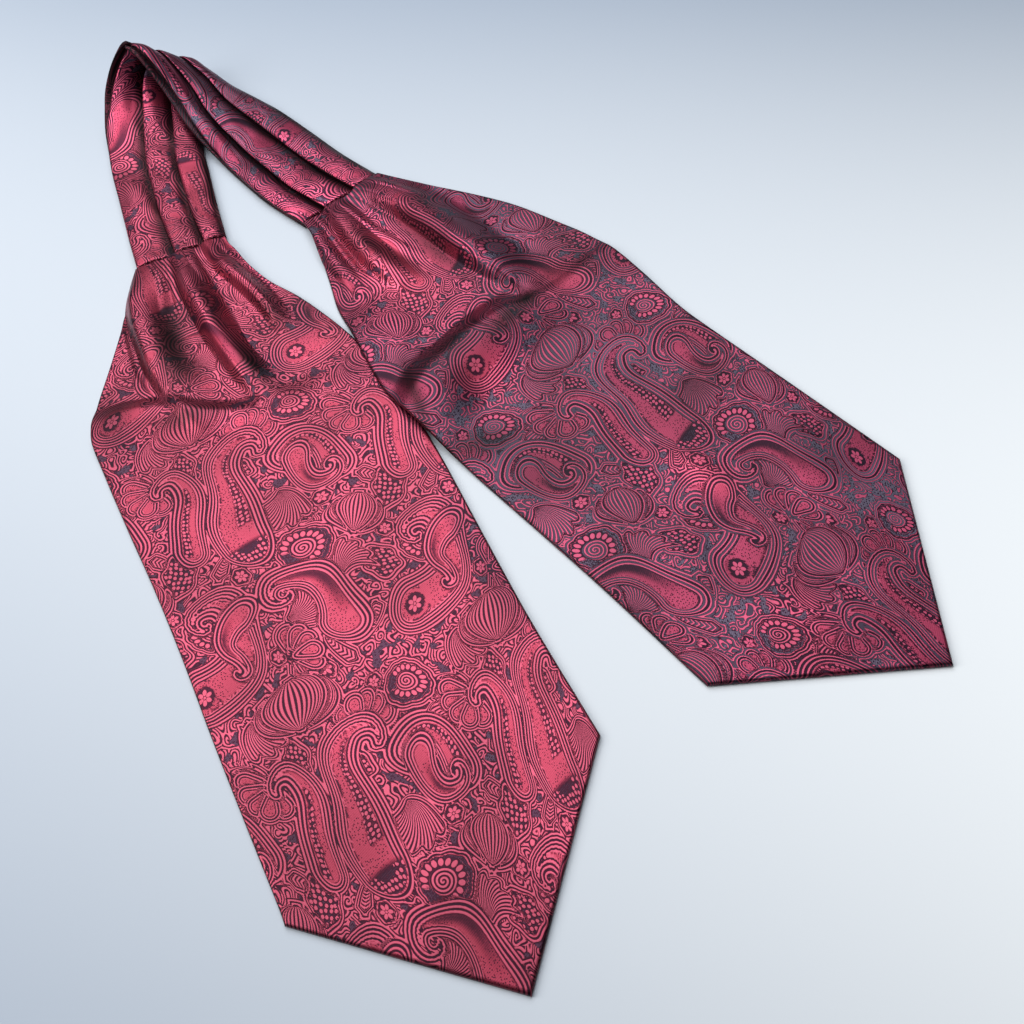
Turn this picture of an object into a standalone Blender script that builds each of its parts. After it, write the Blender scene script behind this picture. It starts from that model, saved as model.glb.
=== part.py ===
# Silk cravat, laid on a table and folded over at the neck.
# Sizes are in millimetres here and become metres when a mesh is made. +Z is up.
# Each half of the cravat is measured in its own flat frame: "along" runs from the
# fold at the neck towards the blade's tip, and "across" runs to the right of it.

import math

import bmesh
import bpy
import numpy as np

METRE = 0.001

# Cloth
PANEL_WALL = 1.0
PANEL_GAP = 0.3
BLADE_THICK = 2 * PANEL_WALL + PANEL_GAP
BACK_INSET = 0.9
BAND_THICK = 5.4
SEAM_GAP = 0.3

# Where the two halves lie on the table
NECK_POINT = (-174.0, 312.9)
NEAR_TURN = 14.03
FAR_TURN = 32.64
ORIGIN_SHIFT = (-0.16, -26.69)

# Blade outlines, a row for each section: along, left edge, right edge, lift of the cloth
NEAR_SECTIONS = (
    (217.0, -43.6, 8.2, 1.7),
    (223.0, -46.4, 8.6, 1.6),
    (229.0, -49.6, 10.6, 1.4),
    (240.0, -54.9, 12.8, 0.9),
    (260.0, -64.9, 20.0, 0.2),
    (280.0, -75.4, 31.2, 0.0),
    (300.0, -86.0, 39.9, 0.0),
    (312.0, -91.2, 44.4, 0.0),
    (324.0, -93.4, 48.2, 0.0),
    (345.0, -92.0, 53.2, 0.0),
    (380.0, -88.9, 58.0, 0.0),
    (420.0, -84.9, 60.2, 0.0),
    (460.0, -82.0, 60.8, 0.0),
    (500.0, -80.0, 61.6, 0.0),
    (580.0, -74.6, 66.2, 0.0),
)
FAR_SECTIONS = (
    (236.0, -26.0, 27.4, 1.7),
    (246.0, -28.2, 31.6, 1.3),
    (260.0, -33.6, 39.4, 0.5),
    (280.0, -42.5, 49.6, 0.0),
    (300.0, -51.8, 58.2, 0.0),
    (320.0, -57.4, 65.0, 0.0),
    (340.0, -63.8, 69.6, 0.0),
    (360.0, -69.2, 73.6, 0.0),
    (375.0, -71.0, 74.8, 0.0),
    (400.0, -71.4, 73.0, 0.0),
    (440.0, -71.6, 68.0, 0.0),
    (500.0, -72.0, 67.2, 0.0),
    (575.0, -74.6, 66.0, 0.0),
)

# Pointed ends: along and across of the left corner, the tip and the right corner
NEAR_END = ((585.0, -73.9), (647.0, 0.0), (570.5, 65.4))
FAR_END = ((577.6, -72.8), (641.0, 0.0), (565.4, 66.6))

# Creases, a row for each point of the crest: along, across, height.
# The left side of a crest is the steep one, as on the pleat that it comes from.
NEAR_FOLDS = {
    "outer pleat": dict(steep=6.5, gentle=24.0, crest=(
        (217.0, -41.0, 1.6), (228.0, -45.0, 3.6), (243.0, -50.5, 6.4), (262.0, -52.5, 8.0),
        (285.0, -52.5, 8.0), (305.0, -50.0, 6.2), (325.0, -45.0, 3.2), (345.0, -38.0, 0.0))),
    "middle pleat": dict(steep=7.0, gentle=15.0, crest=(
        (217.0, -20.0, 2.0), (230.0, -20.5, 4.4), (245.0, -20.5, 7.4), (262.0, -19.0, 9.0),
        (285.0, -17.0, 9.2), (305.0, -13.5, 8.0), (325.0, -9.0, 5.0), (345.0, -4.0, 0.0))),
    "inner pleat": dict(steep=5.5, gentle=10.0, crest=(
        (217.0, -3.0, 2.0), (230.0, -1.0, 3.8), (245.0, 3.0, 5.8), (262.0, 8.5, 6.2),
        (278.0, 13.0, 4.8), (292.0, 15.5, 2.4), (304.0, 17.0, 0.0))),
}
NEAR_BUCKLE = dict(rise=9.0, fall=26.0, crest=(
    (-95.0, 313.0, 1.5), (-75.0, 314.0, 3.2), (-55.0, 322.0, 4.2), (-35.0, 336.0, 4.2),
    (-12.0, 345.0, 3.6), (12.0, 346.0, 2.2), (32.0, 342.0, 0.0)))
FAR_FOLDS = {
    "outer pleat": dict(steep=5.0, gentle=11.0, crest=(
        (236.0, -24.5, 1.6), (250.0, -28.0, 3.6), (266.0, -32.0, 4.6), (284.0, -34.5, 3.6),
        (304.0, -36.0, 0.0))),
    "middle pleat": dict(steep=6.0, gentle=16.0, crest=(
        (236.0, -9.0, 2.0), (250.0, -11.5, 4.6), (268.0, -15.5, 6.2), (290.0, -18.0, 6.2),
        (308.0, -17.0, 4.0), (326.0, -14.0, 0.0))),
    "inner pleat": dict(steep=7.0, gentle=26.0, crest=(
        (236.0, 12.0, 2.0), (250.0, 15.0, 4.8), (270.0, 18.0, 7.4), (295.0, 19.0, 9.0),
        (320.0, 19.5, 9.6), (340.0, 20.5, 7.6), (356.0, 23.0, 4.0), (372.0, 27.0, 0.0))),
    "lifted edge": dict(steep=20.0, gentle=30.0, plateau=9.0, crest=(
        (306.0, -54.0, 0.0), (322.0, -57.5, 2.2), (334.0, -61.0, 3.0), (368.0, -69.5, 3.0),
        (402.0, -70.5, 3.0), (418.0, -71.0, 1.4), (436.0, -71.0, 0.0))),
}
FAR_BUCKLE = dict(rise=19.0, fall=34.0, crest=(
    (-72.0, 384.0, 3.0), (-58.0, 378.0, 6.0), (-40.0, 373.0, 8.4), (-18.0, 371.0, 8.8),
    (2.0, 372.0, 8.0), (20.0, 376.0, 5.4), (40.0, 380.0, 2.6), (62.0, 381.0, 1.6),
    (78.0, 381.0, 1.0)))

# Mesh rows: close over the creases, wide over the flat cloth. Columns follow the crests,
# with these many between the left edge, the three crests and the right edge, and they
# spread out evenly below the creases.
FOLD_ROW = 8.8
FLAT_ROWS = 5
FLAT_FROM = 400.0
COLUMNS = (4, 6, 5, 5)
SPREAD_FROM = 330.0
SPREAD_OVER = 90.0
TIP_PULL = 1.4

# The neck band, a row for each section from the near blade over the fold to the far one:
# left x, y, z and right x, y, z of the middle of its thickness, then the second and third
# pleat as shares of the width, how far the upper layer is set back from the left edge,
# and how deep the pleats step.
NECK_ROWS = (
    (-163.6, 91.8, 2.7, -113.2, 104.7, 2.7, 0.44, 0.77, 0.0, 2.0),
    (-169.9, 123.4, 2.7, -118.0, 136.2, 2.7, 0.40, 0.72, 0.0, 2.0),
    (-175.2, 153.0, 2.7, -121.9, 166.2, 2.7, 0.38, 0.70, 0.0, 2.0),
    (-179.6, 177.5, 2.9, -124.7, 184.5, 2.7, 0.39, 0.71, 0.0, 2.0),
    (-182.6, 200.6, 4.8, -127.0, 203.0, 2.7, 0.42, 0.74, 0.8, 2.0),
    (-183.0, 214.0, 8.6, -129.0, 219.0, 2.7, 0.44, 0.76, 2.0, 1.8),
    (-181.2, 226.0, 14.0, -130.2, 231.5, 2.8, 0.44, 0.76, 3.6, 1.6),
    (-178.0, 236.0, 20.6, -130.8, 241.6, 2.9, 0.43, 0.75, 4.4, 1.4),
    (-172.0, 244.4, 27.8, -131.2, 250.6, 3.3, 0.42, 0.74, 4.4, 1.2),
    (-164.8, 248.2, 34.4, -130.6, 257.0, 4.2, 0.42, 0.74, 4.0, 1.0),
    (-158.4, 247.0, 39.0, -127.6, 259.4, 6.8, 0.42, 0.74, 3.6, 0.9),
    (-152.2, 239.8, 37.6, -123.4, 257.4, 9.4, 0.42, 0.74, 4.0, 0.9),
    (-146.4, 230.4, 30.8, -118.2, 252.4, 8.4, 0.42, 0.74, 4.4, 0.9),
    (-141.2, 221.4, 23.8, -112.4, 246.4, 6.2, 0.41, 0.74, 4.4, 1.0),
    (-136.6, 211.4, 17.6, -105.6, 238.6, 4.4, 0.38, 0.72, 4.2, 1.2),
    (-131.6, 199.6, 12.4, -98.0, 230.2, 3.2, 0.34, 0.69, 3.4, 1.4),
    (-124.6, 186.0, 9.0, -88.8, 220.2, 2.7, 0.31, 0.67, 2.2, 1.7),
    (-117.2, 173.6, 5.8, -79.8, 209.6, 2.7, 0.30, 0.66, 1.0, 2.0),
    (-109.4, 160.4, 3.2, -71.0, 197.4, 2.7, 0.29, 0.66, 0.2, 2.0),
    (-98.6, 142.0, 2.7, -57.0, 176.2, 2.7, 0.29, 0.66, 0.0, 2.0),
    (-87.4, 124.4, 2.7, -41.8, 153.0, 2.7, 0.29, 0.67, 0.0, 2.0),
    (-68.6, 100.2, 2.7, -23.6, 129.0, 2.7, 0.30, 0.69, 0.0, 2.0),
)
CENTRE_BACK = 10

# The band's outline across its width
EDGE_ROUND = 1.4
PLEAT_NOSE = 1.6
PLEAT_DIP = 5.0
BAND_STEPS = 3


def hermite(x, xs, ys):
    """Smooth curve through a table column that never overshoots its rows."""
    xs, ys = np.asarray(xs, float), np.asarray(ys, float)
    x = np.clip(x, xs[0], xs[-1])
    gap = np.diff(xs)
    slope = np.diff(ys) / gap
    tangent = np.zeros(len(xs))
    tangent[0], tangent[-1] = slope[0], slope[-1]
    same = slope[:-1] * slope[1:] > 0
    weight = 2.0 * slope[:-1] * slope[1:]
    total = np.where(same, slope[:-1] + slope[1:], 1.0)
    tangent[1:-1] = np.where(same, weight / total, 0.0)
    k = np.clip(np.searchsorted(xs, x, side="right") - 1, 0, len(gap) - 1)
    t = (x - xs[k]) / gap[k]
    return (ys[k] * (1 + 2 * t) * (1 - t) ** 2 + tangent[k] * gap[k] * t * (1 - t) ** 2
            + ys[k + 1] * t * t * (3 - 2 * t) - tangent[k + 1] * gap[k] * t * t * (1 - t))


def bump(u, left, right, plateau=0.0):
    """Height share at a signed distance u from a crest, with its two side widths."""
    u = np.where(np.abs(u) < plateau, 0.0, u - np.sign(u) * plateau)
    share = np.clip(np.where(u < 0, -u / left, u / right), 0.0, 1.0)
    return 0.5 * (1.0 + np.cos(math.pi * share))


def fold_height(along, across, folds):
    """Sum of the lengthwise creases at a point of a blade."""
    height = np.zeros(np.broadcast(along, across).shape)
    for fold in folds.values():
        crest = np.array(fold["crest"])
        inside = (along >= crest[0, 0] - 1.0) & (along <= crest[-1, 0])
        line = hermite(along, crest[:, 0], crest[:, 1])
        tall = hermite(along, crest[:, 0], crest[:, 2])
        shape = bump(across - line, fold["steep"], fold["gentle"], fold.get("plateau", 0.0))
        height = height + np.where(inside, tall * shape, 0.0)
    return height


def buckle_height(along, across, buckle):
    """The crosswise ridge where the gathered cloth meets the flat cloth."""
    crest = np.array(buckle["crest"])
    line = hermite(across, crest[:, 0], crest[:, 1])
    tall = hermite(across, crest[:, 0], crest[:, 2])
    return tall * bump(along - line, buckle["rise"], buckle["fall"])


def leg_frame(turn):
    """Unit vectors across and along a leg that is turned from straight down the table."""
    angle = math.radians(turn)
    across = np.array((math.cos(angle), math.sin(angle)))
    along = np.array((math.sin(angle), -math.cos(angle)))
    return across, along


def place(points, turn):
    """Turn (across, along, height) of a leg into table coordinates."""
    across, along = leg_frame(turn)
    flat = np.asarray(NECK_POINT) + points[..., :1] * across + points[..., 1:2] * along
    return np.concatenate([flat, points[..., 2:3]], axis=-1)


def end_along(across, end):
    """Where the pointed end cuts a line that runs along the blade."""
    (left_a, left_b), (tip_a, tip_b), (right_a, right_b) = end
    return np.interp(across, (left_b, tip_b, right_b), (left_a, tip_a, right_a))


def blade_grid(sections, folds, buckle, end, turn, inset):
    """Middle surface of a blade as rows of points that follow its crests."""
    table = np.array(sections)
    crests = [np.array(folds[name]["crest"]) for name in ("outer pleat", "middle pleat", "inner pleat")]
    spans = [np.linspace(k, k + 1, count, endpoint=False) for k, count in enumerate(COLUMNS)]
    share = np.append(np.concatenate(spans), len(COLUMNS))

    def across_at(along):
        left = hermite(along, table[:, 0], table[:, 1]) + inset
        right = hermite(along, table[:, 0], table[:, 2]) - inset
        even = left + (right - left) * share / len(COLUMNS)
        knots = [left] + [hermite(along, c[:, 0], c[:, 1]) for c in crests] + [right]
        followed = np.interp(share, range(5), knots)
        spread = np.clip((along - SPREAD_FROM) / SPREAD_OVER, 0.0, 1.0)
        return followed + (even - followed) * spread * spread * (3 - 2 * spread)

    rows = []
    for along in np.arange(table[0, 0] + SEAM_GAP / 2, FLAT_FROM, FOLD_ROW):
        across = across_at(along)
        rows.append(np.stack([across, np.full_like(across, along)], axis=-1))
    left_end, right_end = end[0][1] + inset, end[2][1] - inset
    end_across = left_end + (right_end - left_end) * share / len(COLUMNS)
    tip_column = int(np.argmin(np.abs(end_across)))
    end_across[tip_column] = 0.0
    end_row = end_along(end_across, end) - inset * TIP_PULL
    for part in np.linspace(0.0, 1.0, FLAT_ROWS + 1):
        along = FLAT_FROM + (end_row - FLAT_FROM) * part
        left = hermite(along[0], table[:, 0], table[:, 1]) + inset
        right = hermite(along[-1], table[:, 0], table[:, 2]) - inset
        even = left + (right - left) * share / len(COLUMNS)
        across = even + (across_at(FLAT_FROM) - even) * max(0.0, 1.0 - 2.0 * part)
        across[tip_column] += (end_across[tip_column] - across[tip_column]) * part
        rows.append(np.stack([across, along], axis=-1))
    grid = np.array(rows)
    across, along = grid[..., 0], grid[..., 1]
    height = hermite(along, table[:, 0], table[:, 3])
    height = height + fold_height(along, across, folds) + buckle_height(along, across, buckle)
    points = np.stack([across, along, height + BLADE_THICK / 2], axis=-1)
    return place(points, turn)


def grid_normals(grid):
    """Upward unit normals of a grid of points."""
    down = np.gradient(grid, axis=0)
    over = np.gradient(grid, axis=1)
    normal = np.cross(over, down)
    normal = normal * np.sign(normal[..., 2:3])
    return normal / np.linalg.norm(normal, axis=-1, keepdims=True)


def wall_sides(grid, low, high):
    """Upper and lower side of a wall, moved out from the middle surface and never under the table."""
    normal = grid_normals(grid)
    upper = grid + normal * high
    lower = grid + normal * low
    lower[..., 2] = np.maximum(lower[..., 2], BLADE_THICK / 2 + low)
    upper[..., 2] = np.maximum(upper[..., 2], BLADE_THICK / 2 + high)
    return upper, lower


def new_object(name, verts, faces, colour, roughness):
    """A named closed mesh with its own material, faces pointing out."""
    mesh = bpy.data.meshes.new(name)
    shifted = (verts - np.array((*ORIGIN_SHIFT, 0.0))) * METRE
    mesh.from_pydata([tuple(v) for v in shifted], [], faces)
    shape = bmesh.new()
    shape.from_mesh(mesh)
    bmesh.ops.recalc_face_normals(shape, faces=shape.faces)
    bmesh.ops.triangulate(shape, faces=shape.faces)
    shape.to_mesh(mesh)
    shape.free()
    mesh.shade_smooth()
    mesh.set_sharp_from_angle(angle=math.radians(50))
    material = bpy.data.materials.new(name)
    material.use_nodes = True
    principled = material.node_tree.nodes["Principled BSDF"]
    principled.inputs["Base Color"].default_value = (*colour, 1.0)
    principled.inputs["Roughness"].default_value = roughness
    principled.inputs["Metallic"].default_value = 0.0
    mesh.materials.append(material)
    made = bpy.data.objects.new(name, mesh)
    bpy.context.scene.collection.objects.link(made)
    return made


def panel(name, blade, low, high, inset, colour):
    """One cut panel of a blade, as a closed wall."""
    upper, lower = wall_sides(blade_grid(**blade, inset=inset), low, high)
    count, width = upper.shape[:2]
    verts = np.concatenate([upper.reshape(-1, 3), lower.reshape(-1, 3)])
    shift = count * width

    def at(row, column):
        return row * width + column

    faces = []
    for row in range(count - 1):
        for column in range(width - 1):
            quad = (at(row, column), at(row + 1, column), at(row + 1, column + 1), at(row, column + 1))
            faces.append(quad)
            faces.append(tuple(shift + v for v in reversed(quad)))
    rim = [at(0, c) for c in range(width)]
    rim += [at(r, width - 1) for r in range(1, count)]
    rim += [at(count - 1, c) for c in range(width - 2, -1, -1)]
    rim += [at(r, 0) for r in range(count - 2, 0, -1)]
    for first, second in zip(rim, rim[1:] + rim[:1]):
        faces.append((first, second, second + shift, first + shift))
    return new_object(name, verts, faces, colour, 0.42)


def catmull(points, steps):
    """Smooth rows between the given rows, with the end rows kept."""
    table = np.asarray(points, float)
    padded = np.concatenate([[2 * table[0] - table[1]], table, [2 * table[-1] - table[-2]]])
    rows = []
    for k in range(len(table) - 1):
        p0, p1, p2, p3 = padded[k:k + 4]
        for t in np.arange(steps) / steps:
            rows.append(0.5 * (2 * p1 + (p2 - p0) * t + (2 * p0 - 5 * p1 + 4 * p2 - p3) * t * t
                               + (3 * p1 - p0 - 3 * p2 + p3) * t ** 3))
    rows.append(table[-1])
    return np.array(rows)


def band_profile(width, second, third, setback, step):
    """Outline of the pleated band: distance from the left edge and height over the middle."""
    half = BAND_THICK / 2
    under = [(width - EDGE_ROUND, -half), (width * 2 / 3, -half), (width / 3, -half), (EDGE_ROUND, -half)]
    left = [(0.0, EDGE_ROUND - half), (EDGE_ROUND / 2 + setback / 2, 0.0)]
    top = [(EDGE_ROUND + setback - PLEAT_NOSE / 3, half / 2), (EDGE_ROUND + setback + PLEAT_NOSE / 2, half)]
    for edge in (second * width, third * width):
        top += [(edge - PLEAT_DIP, half - step / 2), (edge - PLEAT_NOSE / 4, half - step),
                (edge, half - step / 2), (edge + PLEAT_NOSE, half)]
    right = [(width - PLEAT_DIP, half - step / 2), (width - EDGE_ROUND, half - step), (width, 0.0)]
    return np.array(under + left + top + right)


def neck_rings(visible, rows):
    """Rings of the neck band between two of its sections, with the pleats on one side."""
    table = catmull(NECK_ROWS, BAND_STEPS)
    left, right = table[:, 0:3], table[:, 3:6]
    run = np.gradient((left + right) / 2, axis=0)
    run /= np.linalg.norm(run, axis=1, keepdims=True)
    width = np.linalg.norm(right - left, axis=1)
    side = (right - left) / width[:, None]
    normal = np.cross(side, run) * visible
    normal /= np.linalg.norm(normal, axis=1, keepdims=True)
    first, last = rows[0] * BAND_STEPS, rows[1] * BAND_STEPS
    rings = []
    for k in range(first, last + 1):
        outline = band_profile(width[k], *table[k, 6:10])
        rings.append(left[k] + outline[:, :1] * side[k] + outline[:, 1:] * normal[k])
    rings[0] += run[first] * SEAM_GAP / 2
    rings[-1] -= run[last] * SEAM_GAP / 2
    rings = np.array(rings)
    rings[..., 2] = np.maximum(rings[..., 2], 0.0)
    return rings


def band(name, rings, colour):
    """Half of the neck band, lofted through its rings."""
    count, size = rings.shape[:2]
    faces = []
    for ring in range(count - 1):
        for k in range(size):
            after = (k + 1) % size
            faces.append((ring * size + k, ring * size + after,
                          (ring + 1) * size + after, (ring + 1) * size + k))
    faces.append(tuple(range(size)))
    faces.append(tuple((count - 1) * size + k for k in reversed(range(size))))
    return new_object(name, rings.reshape(-1, 3), faces, colour, 0.45)


def main():
    for old in list(bpy.data.objects):
        bpy.data.objects.remove(old, do_unlink=True)
    near = dict(sections=NEAR_SECTIONS, folds=NEAR_FOLDS, buckle=NEAR_BUCKLE, end=NEAR_END, turn=NEAR_TURN)
    far = dict(sections=FAR_SECTIONS, folds=FAR_FOLDS, buckle=FAR_BUCKLE, end=FAR_END, turn=FAR_TURN)
    middle = PANEL_GAP / 2
    outer = BLADE_THICK / 2
    panel("near_blade_front", near, middle, outer, 0.0, (0.34, 0.035, 0.06))
    panel("near_blade_back", near, -outer, -middle, BACK_INSET, (0.22, 0.03, 0.05))
    panel("far_blade_back", far, middle, outer, 0.0, (0.26, 0.045, 0.07))
    panel("far_blade_front", far, -outer, -middle, BACK_INSET, (0.22, 0.03, 0.05))
    band("near_band", neck_rings(1, (0, CENTRE_BACK)), (0.30, 0.035, 0.06))
    band("far_band", neck_rings(-1, (CENTRE_BACK, len(NECK_ROWS) - 1)), (0.24, 0.04, 0.06))


main()
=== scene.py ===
# %% [markdown]
# A silk cravat, laid on a table
#
# A cravat, or ascot, has two wide pointed blades and a narrow pleated band between them
# that goes round the neck. Here it lies folded over at the middle of the band, so one
# blade lies to the left and the other to the right, with the fold standing up a little.
# The solid model already says where each cut piece lies. This lesson dresses every one
# of them: a fine skin of cloth with its creases, and a woven paisley silk.

# %% Load the solid model as the frame
import math
import bmesh
import bpy
import numpy as np
from mathutils import Matrix, Vector


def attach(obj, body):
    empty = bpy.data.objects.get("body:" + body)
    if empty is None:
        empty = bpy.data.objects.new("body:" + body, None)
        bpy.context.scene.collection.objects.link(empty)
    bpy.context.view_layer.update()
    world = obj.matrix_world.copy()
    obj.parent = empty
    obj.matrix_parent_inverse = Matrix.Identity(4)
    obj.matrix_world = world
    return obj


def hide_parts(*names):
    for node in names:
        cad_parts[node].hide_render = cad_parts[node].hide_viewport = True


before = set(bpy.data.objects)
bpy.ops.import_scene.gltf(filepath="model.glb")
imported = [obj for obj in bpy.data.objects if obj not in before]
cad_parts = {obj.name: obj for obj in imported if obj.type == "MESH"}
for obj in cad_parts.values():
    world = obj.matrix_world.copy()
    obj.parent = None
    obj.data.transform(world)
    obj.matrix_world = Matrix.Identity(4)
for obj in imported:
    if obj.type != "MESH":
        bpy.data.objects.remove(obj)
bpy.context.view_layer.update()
print("solids:", ", ".join(sorted(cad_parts)))


# %% A thing in the scene
def in_scene(name, data):
    """A new object that shows a mesh, a light or a lens."""
    made = bpy.data.objects.new(name, data)
    bpy.context.scene.collection.objects.link(made)
    return made


# %% [markdown]
# The cloth's own numbers
#
# All sizes are in millimetres until a mesh is made. Each half of the cravat is measured
# in a flat frame of its own: "along" runs from the fold at the neck to the blade's tip,
# and "across" runs to its right. Nearly the same rows shaped the solids, so the skins fit.

# %% Sizes and places of the two halves
METRE = 0.001
PANEL_WALL = 1.0
PANEL_GAP = 0.3
BLADE_THICK = 2 * PANEL_WALL + PANEL_GAP
BACK_INSET = 0.9
BAND_THICK = 5.4
SEAM_GAP = 0.3
NECK_POINT = (-174.0, 312.9)
NEAR_TURN = 14.03
FAR_TURN = 32.64
ORIGIN_SHIFT = np.array((-0.16, -26.69, 0.0))
FLAT_FROM = 400.0

# %% Blade outlines: along, left edge, right edge, lift
NEAR_SECTIONS = (
    (217.0, -43.6, 8.2, 1.7), (223.0, -46.4, 8.6, 1.6), (229.0, -49.6, 10.6, 1.4),
    (240.0, -54.9, 12.8, 0.9), (260.0, -64.9, 20.0, 0.2), (280.0, -75.4, 31.2, 0.0),
    (300.0, -86.0, 39.9, 0.0), (312.0, -91.2, 44.4, 0.0), (324.0, -93.4, 48.2, 0.0),
    (345.0, -92.0, 53.2, 0.0), (380.0, -88.9, 58.0, 0.0), (420.0, -84.9, 60.2, 0.0),
    (460.0, -82.0, 60.8, 0.0), (500.0, -80.0, 61.6, 0.0), (580.0, -74.6, 66.2, 0.0),
)
FAR_SECTIONS = (
    (236.0, -26.0, 27.4, 1.7), (246.0, -28.2, 31.6, 1.3), (260.0, -33.6, 39.4, 0.5),
    (280.0, -42.5, 49.6, 0.0), (300.0, -51.8, 58.2, 0.0), (320.0, -57.4, 65.0, 0.0),
    (340.0, -63.8, 69.6, 0.0), (360.0, -69.2, 73.6, 0.0), (375.0, -71.0, 74.8, 0.0),
    (400.0, -71.4, 73.0, 0.0), (440.0, -71.6, 68.0, 0.0), (500.0, -72.0, 67.2, 0.0),
    (575.0, -74.6, 66.0, 0.0),
)
NEAR_END = ((585.0, -73.9), (647.0, 0.0), (570.5, 65.4))
FAR_END = ((577.6, -72.8), (641.0, 0.0), (565.4, 66.6))

# %% Main creases: along, across, height of each crest
NEAR_FOLDS = {
    "outer pleat": dict(steep=6.5, gentle=24.0, crest=(
        (217.0, -41.0, 1.6), (228.0, -45.0, 3.6), (243.0, -50.5, 6.4), (262.0, -52.5, 8.0),
        (285.0, -52.5, 8.0), (305.0, -50.0, 6.2), (325.0, -45.0, 3.2), (345.0, -38.0, 0.0))),
    "middle pleat": dict(steep=7.0, gentle=15.0, crest=(
        (217.0, -20.0, 2.0), (230.0, -20.5, 4.4), (245.0, -20.5, 7.4), (262.0, -19.0, 9.0),
        (285.0, -17.0, 9.2), (305.0, -13.5, 8.0), (325.0, -9.0, 5.0), (345.0, -4.0, 0.0))),
    "inner pleat": dict(steep=5.5, gentle=10.0, crest=(
        (217.0, -3.0, 2.0), (230.0, -1.0, 3.8), (245.0, 3.0, 5.8), (262.0, 8.5, 6.2),
        (278.0, 13.0, 4.8), (292.0, 15.5, 2.4), (304.0, 17.0, 0.0))),
}
NEAR_BUCKLE = dict(rise=13.0, fall=26.0, crest=(
    (-95.0, 313.0, 1.5), (-75.0, 314.0, 3.2), (-55.0, 322.0, 4.2), (-35.0, 336.0, 4.2),
    (-12.0, 345.0, 3.6), (12.0, 346.0, 2.2), (32.0, 342.0, 0.0)))
FAR_FOLDS = {
    "outer pleat": dict(steep=5.0, gentle=11.0, crest=(
        (236.0, -24.5, 1.6), (250.0, -28.0, 3.6), (266.0, -32.0, 4.6), (284.0, -34.5, 3.6),
        (304.0, -36.0, 0.0))),
    "middle pleat": dict(steep=6.0, gentle=16.0, crest=(
        (236.0, -9.0, 2.0), (250.0, -11.5, 4.6), (268.0, -15.5, 6.2), (290.0, -18.0, 6.2),
        (308.0, -17.0, 4.0), (326.0, -14.0, 0.0))),
    "inner pleat": dict(steep=7.0, gentle=26.0, crest=(
        (236.0, 12.0, 2.0), (250.0, 15.0, 4.8), (270.0, 18.0, 7.4), (295.0, 19.0, 9.0),
        (320.0, 19.5, 9.6), (340.0, 20.5, 7.6), (356.0, 23.0, 4.0), (372.0, 27.0, 0.0))),
    "lifted edge": dict(steep=20.0, gentle=30.0, plateau=9.0, crest=(
        (306.0, -54.0, 0.0), (322.0, -57.5, 2.2), (334.0, -61.0, 3.0), (368.0, -69.5, 3.0),
        (402.0, -70.5, 3.0), (418.0, -71.0, 1.4), (436.0, -71.0, 0.0))),
}
FAR_BUCKLE = dict(rise=19.0, fall=34.0, crest=(
    (-72.0, 384.0, 3.0), (-58.0, 378.0, 6.0), (-40.0, 373.0, 8.4), (-18.0, 371.0, 8.8),
    (2.0, 372.0, 8.0), (20.0, 376.0, 5.4), (40.0, 380.0, 2.6), (62.0, 381.0, 1.6),
    (78.0, 381.0, 1.0)))

# %% [markdown]
# Small creases
#
# Gathered silk never stops at its three big folds. Between them run thin creases, and on
# the flat cloth there are dents hardly a millimetre deep that only show as a change of
# sheen. They are too fine for the solid, so they are listed here one by one: a thin crease
# is a crest with two side widths, and a dent is a soft oval.

# %% Thin creases and dents, a row for each
NEAR_CREASES = (
    dict(steep=2.6, gentle=4.8, crest=(
        (219.0, -9.0, 0.2), (232.0, -5.5, 0.9), (252.0, 3.6, 1.2), (272.0, 10.6, 1.1),
        (288.0, 14.6, 0.9), (297.0, 19.5, 0.0))),
    dict(steep=3.0, gentle=5.0, crest=(
        (218.0, -33.0, 0.4), (228.0, -33.8, 0.9), (242.0, -35.5, 0.8), (262.0, -38.5, 0.0))),
    dict(steep=2.8, gentle=4.8, crest=(
        (218.0, -27.0, 0.3), (230.0, -27.5, 0.8), (248.0, -29.0, 0.6), (268.0, -31.0, 0.0))),
    dict(steep=2.4, gentle=4.0, crest=(
        (218.0, -14.0, 0.3), (229.0, -13.5, 0.8), (243.0, -12.0, 0.5), (256.0, -11.0, 0.0))),
    dict(steep=3.0, gentle=4.8, crest=(
        (218.0, 3.0, 0.3), (230.0, 6.0, 0.7), (246.0, 12.0, 0.5), (262.0, 17.0, 0.0))),
    dict(steep=3.2, gentle=4.0, crest=(
        (240.0, -56.6, 0.0), (262.0, -59.0, 0.7), (284.0, -60.0, 0.8), (304.0, -58.0, 0.4),
        (318.0, -54.0, 0.0))),
)
FAR_CREASES = (
    dict(steep=2.6, gentle=4.6, crest=(
        (237.0, -18.0, 0.3), (248.0, -19.5, 0.8), (266.0, -23.5, 0.8), (286.0, -27.0, 0.5),
        (300.0, -28.5, 0.0))),
    dict(steep=2.8, gentle=4.8, crest=(
        (237.0, -3.0, 0.3), (250.0, -2.6, 0.8), (268.0, -2.0, 1.0), (288.0, 0.0, 0.7),
        (306.0, 2.4, 0.0))),
    dict(steep=2.6, gentle=4.2, crest=(
        (237.0, 4.6, 0.3), (248.0, 5.6, 0.7), (264.0, 7.0, 0.5), (280.0, 8.2, 0.0))),
    dict(steep=2.8, gentle=4.6, crest=(
        (237.0, 19.5, 0.3), (248.0, 23.0, 0.7), (262.0, 27.5, 0.5), (278.0, 32.0, 0.0))),
)
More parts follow.
